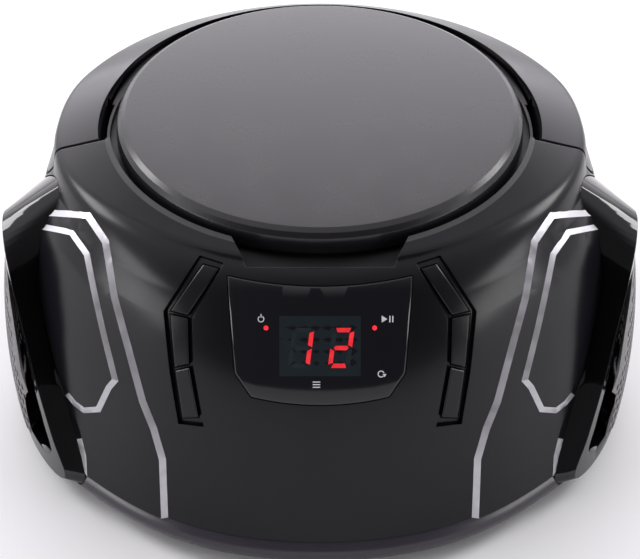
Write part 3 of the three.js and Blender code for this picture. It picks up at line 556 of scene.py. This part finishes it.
# ---------------------------------------------------------------- hollows shared by several pieces
def handle_space(inner, clear, sides=ROUND):
    """Handle space: the band behind the pivot plus a cone-ended hub round the pivot axis."""
    shelf_z, fall, out_r, tilt = HANDLE_BAND
    hub_r, hub_x, taper, x1 = HUB

    def tilted(v):
        c, s = math.cos(tilt), math.sin(tilt)
        return np.stack([v[:, 0], c * v[:, 1] - s * v[:, 2], s * v[:, 1] + c * v[:, 2]], 1)

    shelf = shelf_z - clear
    band = turned([(inner, shelf), (out_r, shelf - fall * (out_r - inner)), (out_r, 140), (inner, 140)],
                  sides, tilted)
    rear = common(band, box(-130, 130, HANDLE_PIVOT[0], 130, 60, 150))
    x0 = inner - 3
    r0, r1 = [hub_r - taper * (x - hub_x) + clear for x in (x0, x1)]
    cone = [(0, x0), (r0, x0), (r1, x1), (0, x1)]
    hubs = [turned(cone, 96, along_x(*HANDLE_PIVOT, sign)) for _, sign in SIDES]
    return cut(join(rear, *hubs), rod(inner, 60, 150, sides=sides))


def notch(grow, z0):
    wide, narrow, front = 31 + grow, 25.3 + grow, -85.2 - grow
    s = np.linspace(0, 1, 17)
    end, middle = front + 1.6, front - 1.2
    curve = [
        (-narrow + 2 * narrow * t, (1 - t) ** 2 * end + 2 * t * (1 - t) * middle + t * t * end)
        for t in s
    ]
    outline = [(-wide, -60), (-wide, -70), *curve, (wide, -70), (wide, -60)]
    ring = np.array([(x, y, z0) for x, y in outline])
    return loft([ring, ring + (0, 0, 40)])


LID_POCKET = (38, 69, 100.3)         # half width, front and floor
REAR_PANEL = (40, 96, 20, 66)        # half width, depth line, bottom and top


def cabinet_hollows(wall):
    x, y, z = LID_POCKET
    well = rod(WELL_R + wall, LEDGE_Z - wall, 150, sides=ROUND)
    pocket = common(box(-x - wall, x + wall, y - wall, 90, z - wall, 150),
                    rod(WELL_R + wall, 60, 150, sides=ROUND))
    px, py, z0, z1 = REAR_PANEL
    panel = box(-px - wall, px + wall, py - wall, 140, z0 - wall, z1 + wall)
    gap = GAP if wall else RING_GAP
    space = handle_space(HANDLE_IN_R - gap - wall, wall + 2 * GAP)
    return [well, pocket, notch(wall, LEDGE_Z - wall), space, panel]


# ---------------------------------------------------------------- speaker pods
POD_BASE = [(-25, 100), (-37, 85), (-44, 71), (-55, 60), (-63, 48), (-71, 37), (-78, 25), (-87, 9),
            (-40, 6.5), (12, 9), (17, 26), (12, 56), (-3, 86)]
POD_RIM = [(-27, 86), (-48, 81), (-57, 73), (-64, 64), (-69, 53), (-74, 41), (-80, 27), (-85.8, 11), (-40, 8),
           (4, 11), (9, 28), (3, 56), (-11, 78)]
POD_CENTRE = np.array([-34.0, 43.0])
POD_ROOT_X = 86


def smooth_loop(points, per_span=9):
    """Closed centripetal Catmull-Rom curve through the points."""
    p = np.asarray(points, float)
    n = len(p)
    t = np.arange(per_span) / per_span
    spans = []
    for i in range(n):
        p0, p1, p2, p3 = p[i - 1], p[i], p[(i + 1) % n], p[(i + 2) % n]
        d0, d1, d2 = [np.linalg.norm(b - a) ** 0.5 for a, b in ((p0, p1), (p1, p2), (p2, p3))]
        m1 = d1 * ((p1 - p0) / d0 - (p2 - p0) / (d0 + d1) + (p2 - p1) / d1)
        m2 = d1 * ((p2 - p1) / d1 - (p3 - p1) / (d1 + d2) + (p3 - p2) / d2)
        c2, c3 = -3 * p1 + 3 * p2 - 2 * m1 - m2, 2 * p1 - 2 * p2 + m1 + m2
        spans.append(p1 + np.outer(t, m1) + np.outer(t**2, c2) + np.outer(t**3, c3))
    return np.concatenate(spans)


def rim_x(y):
    return POD_FACE[0] + np.sqrt(POD_FACE[2] ** 2 - (y - POD_FACE[1]) ** 2)


def fitted(loop, scale, grow):
    away = loop - POD_CENTRE
    length = np.linalg.norm(away, axis=1, keepdims=True)
    return POD_CENTRE + away / length * (length * scale + grow)


def pod_plug(sign, scale=1.0, grow=0.0, face_drop=0.0):
    """The pod as a plug from inside the cabinet to its face."""
    base, rim = smooth_loop(POD_BASE), smooth_loop(POD_RIM)
    start = np.stack([np.zeros(len(base)), base[:, 0], base[:, 1]], 1)
    skin_x = march(start, np.array([1.0, 0.0, 0.0]), 40, 140)[:, 0]
    root_x = POD_ROOT_X - (10 if scale < 1 else 0) - (1 if grow > 0 else 0)
    rx = rim_x(rim[:, 0])
    bx = np.minimum(skin_x, rx - 5)
    fitted_base, fitted_rim = fitted(base, scale, grow), fitted(rim, scale, grow)
    low = np.column_stack([bx, fitted_base])
    high = np.column_stack([rx, fitted_rim])
    rings = [np.column_stack([np.full(len(base), root_x), fitted_base]), low, high, high + 0.6 * (high - low)]
    face = rod(POD_FACE[2] - face_drop, -20, 140, at(sign * POD_FACE[0], POD_FACE[1]), 256)
    return common(loft([ring * (sign, 1, 1) for ring in rings]), face)


# ---------------------------------------------------------------- top cabinet
CHANNEL = [(-41.2, 33.4), (-32.8, 30.6), (-43.7, 11.5), (-43.5, -5), (-40.2, -25.8), (-49.4, -25),
           (-52, -6.5),
           (-53.8, 14.3)]
BUTTONS = {
    "upper": [(-39.9, 30.2), (-34.5, 28.6), (-45.3, 12.9), (-51.3, 14.4)],
    "middle": [(-51.4, 13.2), (-45.3, 11.7), (-45, -3.9), (-50.2, -5.1)],
    "lower": [(-50, -6.3), (-45, -5.1), (-42.1, -22.4), (-47.9, -22.8)],
}


def arc_points(u0, u1, v_end, v_middle, steps):
    t = np.linspace(-1, 1, steps + 1)
    return [(u0 + (u1 - u0) * (s + 1) / 2, v_middle + (v_end - v_middle) * s * s) for s in t]


LENS = [*arc_points(-31.5, 31.5, 26.2, 22.4, 20), (29, -6.9),
        *arc_points(23.6, -23.6, -15, -17.8, 14), (-29, -6.9)]

# Raised panels beside the pods. They close behind the pod, which hides that edge.
TERRACE = [(-104, 52.3), (-81.3, 49.4), (-73.9, 39.2), (-70.4, 19.3), (-65.6, 1.5), (-61, -16.8),
           (-57.2, -26.6), (-54.3, -37.7), (-54.3, -62), (-87.5, -62), (-87.5, -38.4), (-89.6, -29),
           (-93.7, -17.4), (-97.4, -3.9), (-101.6, 10.8), (-105, 25.6), (-106, 40)]
PANEL = [(-103, 46.8), (-87.7, 43.4), (-81.1, 34.9), (-75.2, 8.1), (-70.9, -10.2), (-73.8, -13.2),
         (-78.5, -21.6), (-85.2, -22.3), (-89.4, -19.5), (-92.5, -16), (-97.4, -3.9), (-101.6, 10.8),
         (-104.5, 25.6), (-105, 38)]
TERRACE_RISE = 1.6
PANEL_RISE = 3.0
BEVEL_RUN = 2.5


def rear_openings():
    knobs = []
    for degrees in (138, 42):
        a = math.radians(degrees)
        turn = lambda v, a=a: np.stack([v[:, 2] * math.cos(a) - v[:, 1] * math.sin(a),
                                        v[:, 2] * math.sin(a) + v[:, 1] * math.cos(a), v[:, 0] + 52], 1)
        knobs.append(turned([(0, 90), (4, 90), (4, 120), (0, 120)], 48, turn))
    return knobs + [
        rod(5.3, 85, 120, along_y(22, 42)),
        box(-7, 7, 90, 120, 27.7, 32.3),
        rod(5.3, 80, 120, along_y(-45, 75)),
        box(-36.3, -11.7, 77.7, 97, 33.2, 50.8),
    ]


SKIN = cabinet_solid(0)
POD_HOLES = [pod_plug(sign, 1, 0.4, -12) for _, sign in SIDES]


def top_cabinet():
    skin = copied(SKIN)
    for flip in (list, mirrored):
        terrace = plate(flip(TERRACE), [(0, -1.5), (0, -0.02), (BEVEL_RUN, TERRACE_RISE)])
        panel = plate(flip(PANEL), [(0, -1.5), (0, TERRACE_RISE), (BEVEL_RUN * 0.85, PANEL_RISE)])
        skin = join(skin, terrace, panel)
    above = box(-150, 150, -150, 150, SEAM_Z + GAP, 150)
    outer = cut(common(skin, above), *cabinet_hollows(0))
    inner = cut(cabinet_solid(-WALL, 120, 40), *cabinet_hollows(WALL))
    shell = cut(outer, inner)
    floor = cabinet_solid(-1.6)
    tools = []
    for flip in (list, mirrored):
        tools.append(cut(prism(flip(CHANNEL)), floor))
        tools += [prism(offset_outline(flip(outline), 0.35), 96) for outline in BUTTONS.values()]
    ring_gap = cut(rod(HANDLE_IN_R, RING_TOP_Z, 150, sides=ROUND), box(-150, 150, -150, -12, 100, 160))
    rear_gap = common(rod(HANDLE_IN_R + RING_LEAN, RING_TOP_Z, 150, sides=ROUND),
                      box(-150, 150, HANDLE_PIVOT[0], 150, 100, 160))
    shell = cut(shell, *tools, prism(offset_outline(LENS, GAP)), rod(66, 80, 150, sides=ROUND),
                ring_gap, rear_gap, *POD_HOLES, *rear_openings())
    for _, sign in SIDES:
        x0, x1 = sorted((70.6 * sign, 77.8 * sign))
        shell = join(shell, box(x0, x1, -6, 6, 93, LEDGE_Z - 1))
        shell = cut(shell, rod(2.5, 70, 84, along_x(*HANDLE_PIVOT, sign)))
    for x in (-29, 29):
        y, z = LID_PIVOT
        ear = join(box(x - 2.5, x + 2.5, y - 2.5, y + 2.5, LEDGE_Z - 1, z),
                   rod(2.5, x - 2.5, x + 2.5, along_x(y, z)))
        shell = join(shell, cut(ear, rod(1.6, x - 4, x + 4, along_x(y, z))))
    made = piece("top_cabinet_shell", shell, "cabinet", GLOSS, ["top_cabinet"],
                 (0.0, -1.6, TERRACE_RISE, PANEL_RISE))
    paint_bevel_highlights(made)
    return made


def paint_bevel_highlights(obj):
    """Bright silver metal on the sloping walls of the raised panels, a painted highlight standing in for the
    light those black gloss walls reflect; matt black on the wall round the disc recess.
    """
    obj.data.materials.append(BEVEL_PAINTED_HIGHLIGHT)
    obj.data.materials.append(MATT)
    centre = np.array([p.center for p in obj.data.polygons], float) * 1000 - (0, LID_AXIS_Y, 0)
    facing = np.array([p.normal for p in obj.data.polygons], float)
    level = cabinet_field(centre)
    lean = np.einsum("ij,ij->i", facing, field_normal(centre))
    # wall picks the sloping panel walls, which get the painted highlight; ring picks the wall round the disc
    # recess.
    wall = (level > 0.04) & (level < PANEL_RISE) & (lean > 0.4) & (lean < 0.965) & (centre[:, 1] < -10)
    ring = (np.hypot(centre[:, 0], centre[:, 1]) < HANDLE_IN_R - 0.1) & (centre[:, 2] > 100)
    obj.data.polygons.foreach_set("material_index", np.where(ring, 2, wall).astype(np.int32))


def bottom_case():
    profile = [(-3.5, FOOT_H), (-2.4, 3.0), (-0.8, 4.5), (0.6, 5.7), (1.6, 7.0), (2.1, 8.6), (2.2, 10.0),
               (1.6, 11.6), (0.6, SEAM_Z - 1), (-0.4, SEAM_Z)]
    outside = loft([plan_ring(grow, z) for grow, z in profile])
    inside_ = loft([plan_ring(-6, 5.5), plan_ring(-3, 9), plan_ring(-3, SEAM_Z + 1)])
    shell = cut(outside, inside_)
    bay = box(-80, 80, 1, 59, FOOT_H, 37)
    bay = common(bay, join(outside, box(-150, 150, -150, 150, 9, 60)))
    shell = join(shell, bay)
    posts = [(-82, -30), (82, -30), (-30, 84), (30, 84)]
    shell = join(shell, *[rod(5, FOOT_H, 12.5, at(x, y)) for x, y in posts])
    bores = [tool for x, y in posts for tool in (rod(1.8, 0, 20, at(x, y)), rod(3.6, 0, 6.5, at(x, y)))]
    feet = [rod(9.3, 0, 3.3, at(x, y)) for x, y in ((-62, -62), (62, -62), (-52, 74), (52, 74))]
    slots = [box(x - 6.3, x + 6.3, 2.4, 8, 0, 7.4) for x in (-50, 50)]
    shell = cut(shell, *bores, *feet, box(-78, 78, 3, 57, 5.2, 35),
                box(-74.3, 74.3, 6.7, 54.3, 0, 5.3), *slots,
                *POD_HOLES)
    return piece("bottom_case_shell", shell, "cabinet", CASE_FINISH, ["bottom_case"])


def carry_handle():
    shape = common(handle_space(HANDLE_IN_R, -SEAM), SKIN)
    chamfer = turned([(HANDLE_IN_R - 4, 106), (HANDLE_IN_R, 106),
                      (HANDLE_IN_R + 4.4, 115), (HANDLE_IN_R - 4, 115)])
    bores = [rod(2.5, 70, 97.6, along_x(*HANDLE_PIVOT, sign)) for _, sign in SIDES]
    faces = []
    for _, sign in SIDES:
        x0, x1 = sorted((60 * sign, HANDLE_IN_R * sign))
        faces.append(box(x0, x1, -20, HUB[0] + 0.6, 60, 150))
    return piece("carry_handle_moulding", cut(shape, chamfer, *faces, *bores), "handle", GLOSS,
                 ["carry_handle"], (0.0,))


def cd_lid():
    crown = [(0, 117), (20, 116.94), (40, 116.75), (56, 116.45), (68, 116.12), (71.4, 115.98)]
    rim = [(73.2, 114.9), (74.4, 113.3), (LID_R, 111.6), (LID_R, 107.2), (72.6, 107.2), (72.6, 112),
           (70, 112.2),
           (40, 113.7), (0, 114)]
    shell = turned(crown + rim, 240)
    y, z = LID_PIVOT
    shell = cut(shell, box(-40, 40, 55, 90, 100, 111.7))
    for x in (-20, 20):
        lug = join(box(x - 4, x + 4, y - 2.6, y + 2.6, z, 113.2), rod(2.6, x - 4, x + 4, along_x(y, z)))
        shell = join(shell, cut(lug, rod(1.6, x - 6, x + 6, along_x(y, z))))
    return piece("cd_lid_moulding", shell, "lid", LID_FINISH, ["cd_lid"], crease=20)


def main_body(obj):
    """Drops every loose scrap and keeps the body with the most corners."""
    mesh = obj.data
    edges = np.array([e.vertices for e in mesh.edges])
    label = np.arange(len(mesh.vertices))
    while True:
        low = label.copy()
        np.minimum.at(low, edges[:, 0], label[edges[:, 1]])
        np.minimum.at(low, edges[:, 1], label[edges[:, 0]])
        low = low[low]
        if (low == label).all():
            break
        label = low
    keep = label == np.bincount(label).argmax()
    index = np.cumsum(keep) - 1
    corners = [v.co.copy() for v in mesh.vertices]
    verts = [corners[i] for i in np.flatnonzero(keep)]
    faces = [[int(index[v]) for v in p.vertices] for p in mesh.polygons if keep[p.vertices[0]]]
    return solid(verts, faces)


def pod_bezel(name, sign):
    shell = main_body(cut(pod_plug(sign), pod_plug(sign, 0.87, 0, -3), handle_space(HANDLE_IN_R - 2, 1.2)))
    return piece(f"pod_bezel_{name}_moulding", shell, "cabinet", POD_FINISH,
                 [f"pod_bezel_{name}"])


GRILLE_AXES = np.array([60.0, 84.0, 118.0])
GRILLE_CENTRE = np.array([59.0, -22.0, 42.0])
GRILLE_INSET = 0.5                   # of its highest point from the end of the ellipsoid
GRILLE_CLIP = -20                    # how far down its opening the sheet is kept
SLOT_PITCH = (2.7, 4.7)              # along Y and Z
SLOT_SIZE = (1.25, 3.0)


def grille(name, sign):
    """Domed steel grille with rows of short upright slots and a plain border."""
    (dy, dz), (sy, sz) = SLOT_PITCH, SLOT_SIZE
    ys = np.arange(-92, 20, dy)
    zs = np.arange(3, 98, dz)
    border = fitted(smooth_loop(POD_RIM), 0.87, -3.4)
    verts, index, faces = [], {}, []

    def vertex(y, z):
        key = (round(y, 4), round(z, 4))
        if key not in index:
            across, up = ((y, z) - GRILLE_CENTRE[1:]) / GRILLE_AXES[1:]
            unit = 1 - across ** 2 - up ** 2
            index[key] = len(verts)
            x = GRILLE_CENTRE[0] + (GRILLE_AXES[0] - GRILLE_INSET) * math.sqrt(max(unit, 0.02))
            verts.append((sign * x, y, z))
        return index[key]

    for y in ys:
        for z in zs:
            corners = [(y, z), (y + dy, z), (y + dy, z + dz), (y, z + dz)]
            outer = [vertex(*c) for c in corners]
            if not inside(np.array([(y + dy / 2, z + dz / 2)]), border)[0]:
                faces.append(outer)
                continue
            cy, cz, b = y + dy / 2, z + dz / 2, sy * 0.32
            hy, hz = sy / 2, sz / 2
            hole = [vertex(cy + p, cz + q) for p, q in (
                (-hy, -hz + b), (-hy + b, -hz), (hy - b, -hz), (hy, -hz + b),
                (hy, hz - b), (hy - b, hz), (-hy + b, hz), (-hy, hz - b))]
            for k in range(4):
                a, c = hole[2 * k], hole[2 * k + 1]
                faces.append([outer[k], c, a])
                faces.append([outer[k], outer[(k + 1) % 4], hole[(2 * k + 2) % 8], c])
    if sign < 0:
        faces = [f[::-1] for f in faces]
    mesh = bpy.data.meshes.new("sheet")
    mesh.from_pydata(verts, [], faces)
    sheet = bpy.data.objects.new("sheet", mesh)
    bpy.context.scene.collection.objects.link(sheet)
    thick = sheet.modifiers.new("thickness", "SOLIDIFY")
    thick.thickness = 0.9
    thick.offset = -1
    combine(sheet, "INTERSECT", [pod_plug(sign, 0.87, -GAP, GRILLE_CLIP)])
    return piece(f"speaker_grille_{name}_sheet", sheet, "cabinet", GRILLE_METAL,
                 [f"speaker_grille_{name}"], crease=40)


# ---------------------------------------------------------------- display and keys
def display():
    lens = plate(LENS, [(0, -1.8), (0, 0.55), (0.45, 0.8)])
    piece("display_lens_cover", lens, "cabinet", LENS_FINISH, ["display_lens"], (0.8,))
    window = plate([(-13.8, -7.9), (13.8, -7.9), (13.8, 12.5), (-13.8, 12.5)], [(0, 0.6), (0, 0.82)])
    piece("display_window", window, "cabinet", WINDOW_FINISH, (), (0.82,))
    for name, u, lit in (("tens", -11.0, "bc"), ("units", 2.6, "abged")):
        for letter, outline in segments(u, -5.1).items():
            on = letter in lit
            segment = plate(outline, [(0, 0.7), (0, 0.87 if on else 0.84)], 3)
            finish = LIT_RED if on else DARK_SEGMENT
            piece(f"segment_{name}_{letter}", segment, "cabinet", finish, (), (0.87, 0.84))
    for name, u in (("left", -18.3), ("right", 18.5)):
        dot = plate(circle(u, 8.5, 0.85), [(0, 0.6), (0.05, 0.95), (0.35, 1.05)], 2)
        piece(f"indicator_lamp_{name}", dot, "cabinet", LAMP_RED)


def arc_band(u, v, inner, outer, start, end, steps=20):
    turns = np.radians(np.linspace(start, end, steps))
    return ([(u + outer * math.cos(a), v + outer * math.sin(a)) for a in turns]
            + [(u + inner * math.cos(a), v + inner * math.sin(a)) for a in turns[::-1]])


def bar(u, v, width, height):
    return [(u - width / 2, v - height / 2), (u + width / 2, v - height / 2), (u + width / 2, v + height / 2),
            (u - width / 2, v + height / 2)]


def symbols():
    """The usual marks for power, play and pause, repeat and programme."""
    marks = {
        "power": [arc_band(-20, 11.5, 0.8, 1.15, -240, 60), bar(-20, 12.6, 0.36, 1.2)],
        "play": [[(20.9, 10.3), (22.9, 11.5), (20.9, 12.7)], bar(23.7, 11.5, 0.42, 2.2),
                 bar(24.7, 11.5, 0.42, 2.2)],
        "repeat": [arc_band(20.8, -7.2, 0.85, 1.2, 20, 320), [(21.3, -7.2), (22.7, -7.2), (22.0, -8.3)]],
        "program": [bar(-1.2, -9.9, 2.6, 0.36), bar(-1.2, -10.8, 2.6, 0.36), bar(-1.2, -11.7, 2.6, 0.36)],
    }
    for name, outlines in marks.items():
        for number, outline in enumerate(outlines, 1):
            mark = plate(outline, [(0, 0.7), (0, 0.86)], 2)
            piece(f"symbol_{name}_{number}", mark, "cabinet", PRINT, (), (0.86,))


def circle(u, v, radius, steps=24):
    turns = np.arange(steps) * 2 * math.pi / steps
    return [(u + radius * math.cos(a), v + radius * math.sin(a)) for a in turns]


DIGIT_W, DIGIT_H, DIGIT_SLANT, STROKE = 7.4, 13.6, 0.13, 1.5


def segments(u0, v0):
    """The seven strokes of one slanted digit, by their usual letters."""
    w, h, s, g = DIGIT_W, DIGIT_H, STROKE, 0.25
    flat = [(s * 0.6 + g, 0), (w - s * 0.6 - g, 0), (w - s - g, s), (s + g, s)]
    middle = [(s * 0.6 + g, h / 2), (s + g, h / 2 - s / 2), (w - s - g, h / 2 - s / 2),
              (w - s * 0.6 - g, h / 2), (w - s - g, h / 2 + s / 2), (s + g, h / 2 + s / 2)]
    upright = [(0, s * 0.6 + g), (s, s + g), (s, h / 2 - s / 2 - g), (0, h / 2 - g)]
    strokes = {
        "a": [(x, h - y) for x, y in reversed(flat)],
        "d": flat,
        "g": middle,
        "e": upright,
        "f": [(x, h - y) for x, y in reversed(upright)],
        "c": [(w - x, y) for x, y in reversed(upright)],
        "b": [(w - x, h - y) for x, y in upright],
    }
    return {k: [(u0 + x + DIGIT_SLANT * y, v0 + y) for x, y in v] for k, v in strokes.items()}


def keys():
    for name, sign in SIDES:
        for place_, outline in BUTTONS.items():
            top = list(outline) if sign < 0 else mirrored(outline)
            cap = plate(top, [(0, -6), (0, 0.05), (0.45, 0.5)], 3)
            piece(f"button_{name}_{place_}_cap", cap, f"key_{name}_{place_}", KEY_FINISH,
                  [f"button_{name}_{place_}"], (0.5,))


# ---------------------------------------------------------------- carried-over CAD nodes
def finish_cad_nodes():
    slots = {s["node"]: s["material_slot"] for s in frame["record"]["subparts"]}
    for name, obj in frame["nodes"].items():
        if obj.hide_render:
            continue
        obj.data.materials.clear()
        obj.data.materials.append(SLOT_FINISH[slots[name]])
        obj.data.polygons.foreach_set("use_smooth", np.ones(len(obj.data.polygons), bool))
        obj.data.set_sharp_from_angle(angle=math.radians(35))


# ---------------------------------------------------------------- studio
CAMERA_PLACE = (0, -0.6782, 0.5862)  # metres
CAMERA_TILT = 51.22                  # degrees from looking straight down
CAMERA_LENS = 126.9                  # mm, on a 36 mm sensor
GLOW = 4.2                           # brightness of the sweep low behind the object, before it fades upwards


def polar(azimuth, elevation, distance):
    """A place round the object; azimuth 0 is behind it and 90 to its right, as the camera sees it."""
    a, e = math.radians(azimuth), math.radians(elevation)
    level = distance * math.cos(e)
    return (level * math.sin(a), level * math.cos(a), distance * math.sin(e))


def studio():
    scene = bpy.context.scene
    scene.view_settings.view_transform = "Standard"
    camera = bpy.data.objects.new("camera", bpy.data.cameras.new("camera"))
    scene.collection.objects.link(camera)
    camera.location = CAMERA_PLACE
    camera.rotation_euler = (math.radians(CAMERA_TILT), 0, 0)
    camera.data.lens = CAMERA_LENS
    camera.data.sensor_width = 36
    scene.camera = camera

    floor_mesh = bpy.data.meshes.new("floor")
    floor_mesh.from_pydata([(-6, -6, 0), (6, -6, 0), (6, 6, 0), (-6, 6, 0)], [], [(0, 1, 2, 3)])
    floor = bpy.data.objects.new("floor", floor_mesh)
    scene.collection.objects.link(floor)
    material, tree, shader = new_material("floor_white")
    colour = two_tone(tree, noise(tree, 3.0), (0.9, 0.9, 0.9), (0.93, 0.93, 0.93))
    tree.links.new(colour, shader.inputs["Base Color"])
    shader.inputs["Roughness"].default_value = 0.9
    shader.inputs["Specular IOR Level"].default_value = 0.1
    floor_mesh.materials.append(material)

    def softbox(name, place_, target, size, energy):
        light = bpy.data.lights.new(name, "AREA")
        light.shape = "RECTANGLE"
        light.size, light.size_y = size
        light.energy = energy
        obj = bpy.data.objects.new(name, light)
        scene.collection.objects.link(obj)
        obj.location = place_
        obj.rotation_mode = "QUATERNION"
        obj.rotation_quaternion = (Vector(place_) - Vector(target)).to_track_quat("Z", "Y")
        return obj

    for side, sign in SIDES:
        softbox(f"high_{side}", polar(sign * 68, 36, 1.2), (0, 0, 0.08), (0.42, 0.34), 4.6)
        softbox(f"low_{side}", polar(sign * 110, 13, 1.2), (sign * 0.09, 0, 0.05), (0.60, 0.34), 3.6)

    world = bpy.data.worlds.new("studio")
    scene.world = world
    world.use_nodes = True
    tree = world.node_tree
    background = tree.nodes["Background"]
    coordinates = node(tree, "ShaderNodeTexCoord")
    parts = node(tree, "ShaderNodeSeparateXYZ")
    tree.links.new(coordinates.outputs["Generated"], parts.inputs[0])
    across, back, up = parts.outputs

    def mathed(operation, *values):
        made = node(tree, "ShaderNodeMath", operation=operation)
        for socket, value in zip(made.inputs, values):
            if isinstance(value, (int, float)):
                socket.default_value = value
            else:
                tree.links.new(value, socket)
        return made.outputs[0]

    def stepped(value, start, end, low, high):
        made = node(tree, "ShaderNodeMapRange", interpolation_type="SMOOTHSTEP")
        for socket, number in zip(("From Min", "From Max", "To Min", "To Max"), (start, end, low, high)):
            made.inputs[socket].default_value = number
        tree.links.new(value, made.inputs["Value"])
        return made.outputs["Result"]

    # The sweep behind the object is lit, a little more on the left; the room in front of it is dark.
    sweep = mathed("MULTIPLY", stepped(back, -0.55, -0.12, 0.12, 0.92), stepped(across, -1, 1, 1.2, 0.8))
    narrow = mathed("EXPONENT", mathed("MULTIPLY", mathed("POWER", mathed("ABSOLUTE", across), 2.0), -5.0))
    low_glow = mathed("MULTIPLY", stepped(up, 0.30, 0.74, GLOW, 0.0), stepped(back, 0.0, 0.5, 0.0, 1.0))
    level = mathed("ADD", sweep, mathed("MULTIPLY", narrow, low_glow))
    tint = node(tree, "ShaderNodeCombineColor")
    for socket, share in zip(tint.inputs, (1.0, 0.97, 1.03)):
        tree.links.new(mathed("MULTIPLY", level, share), socket)
    tree.links.new(tint.outputs[0], background.inputs["Color"])
    background.inputs["Strength"].default_value = 1.0
    plain = node(tree, "ShaderNodeBackground")
    plain.inputs["Color"].default_value = (1, 1, 1, 1)
    plain.inputs["Strength"].default_value = 1.0
    seen = node(tree, "ShaderNodeLightPath")
    mix = node(tree, "ShaderNodeMixShader")
    tree.links.new(seen.outputs["Is Camera Ray"], mix.inputs[0])
    tree.links.new(background.outputs[0], mix.inputs[1])
    tree.links.new(plain.outputs[0], mix.inputs[2])
    tree.links.new(mix.outputs[0], tree.nodes["World Output"].inputs["Surface"])


top_cabinet()
bottom_case()
carry_handle()
cd_lid()
for name, sign in SIDES:
    pod_bezel(name, sign)
    grille(name, sign)
display()
symbols()
keys()
for obj in list(bpy.context.scene.collection.objects):
    if obj.type == "MESH" and obj.name.startswith("solid"):
        bpy.data.objects.remove(obj)
finish_cad_nodes()
studio()
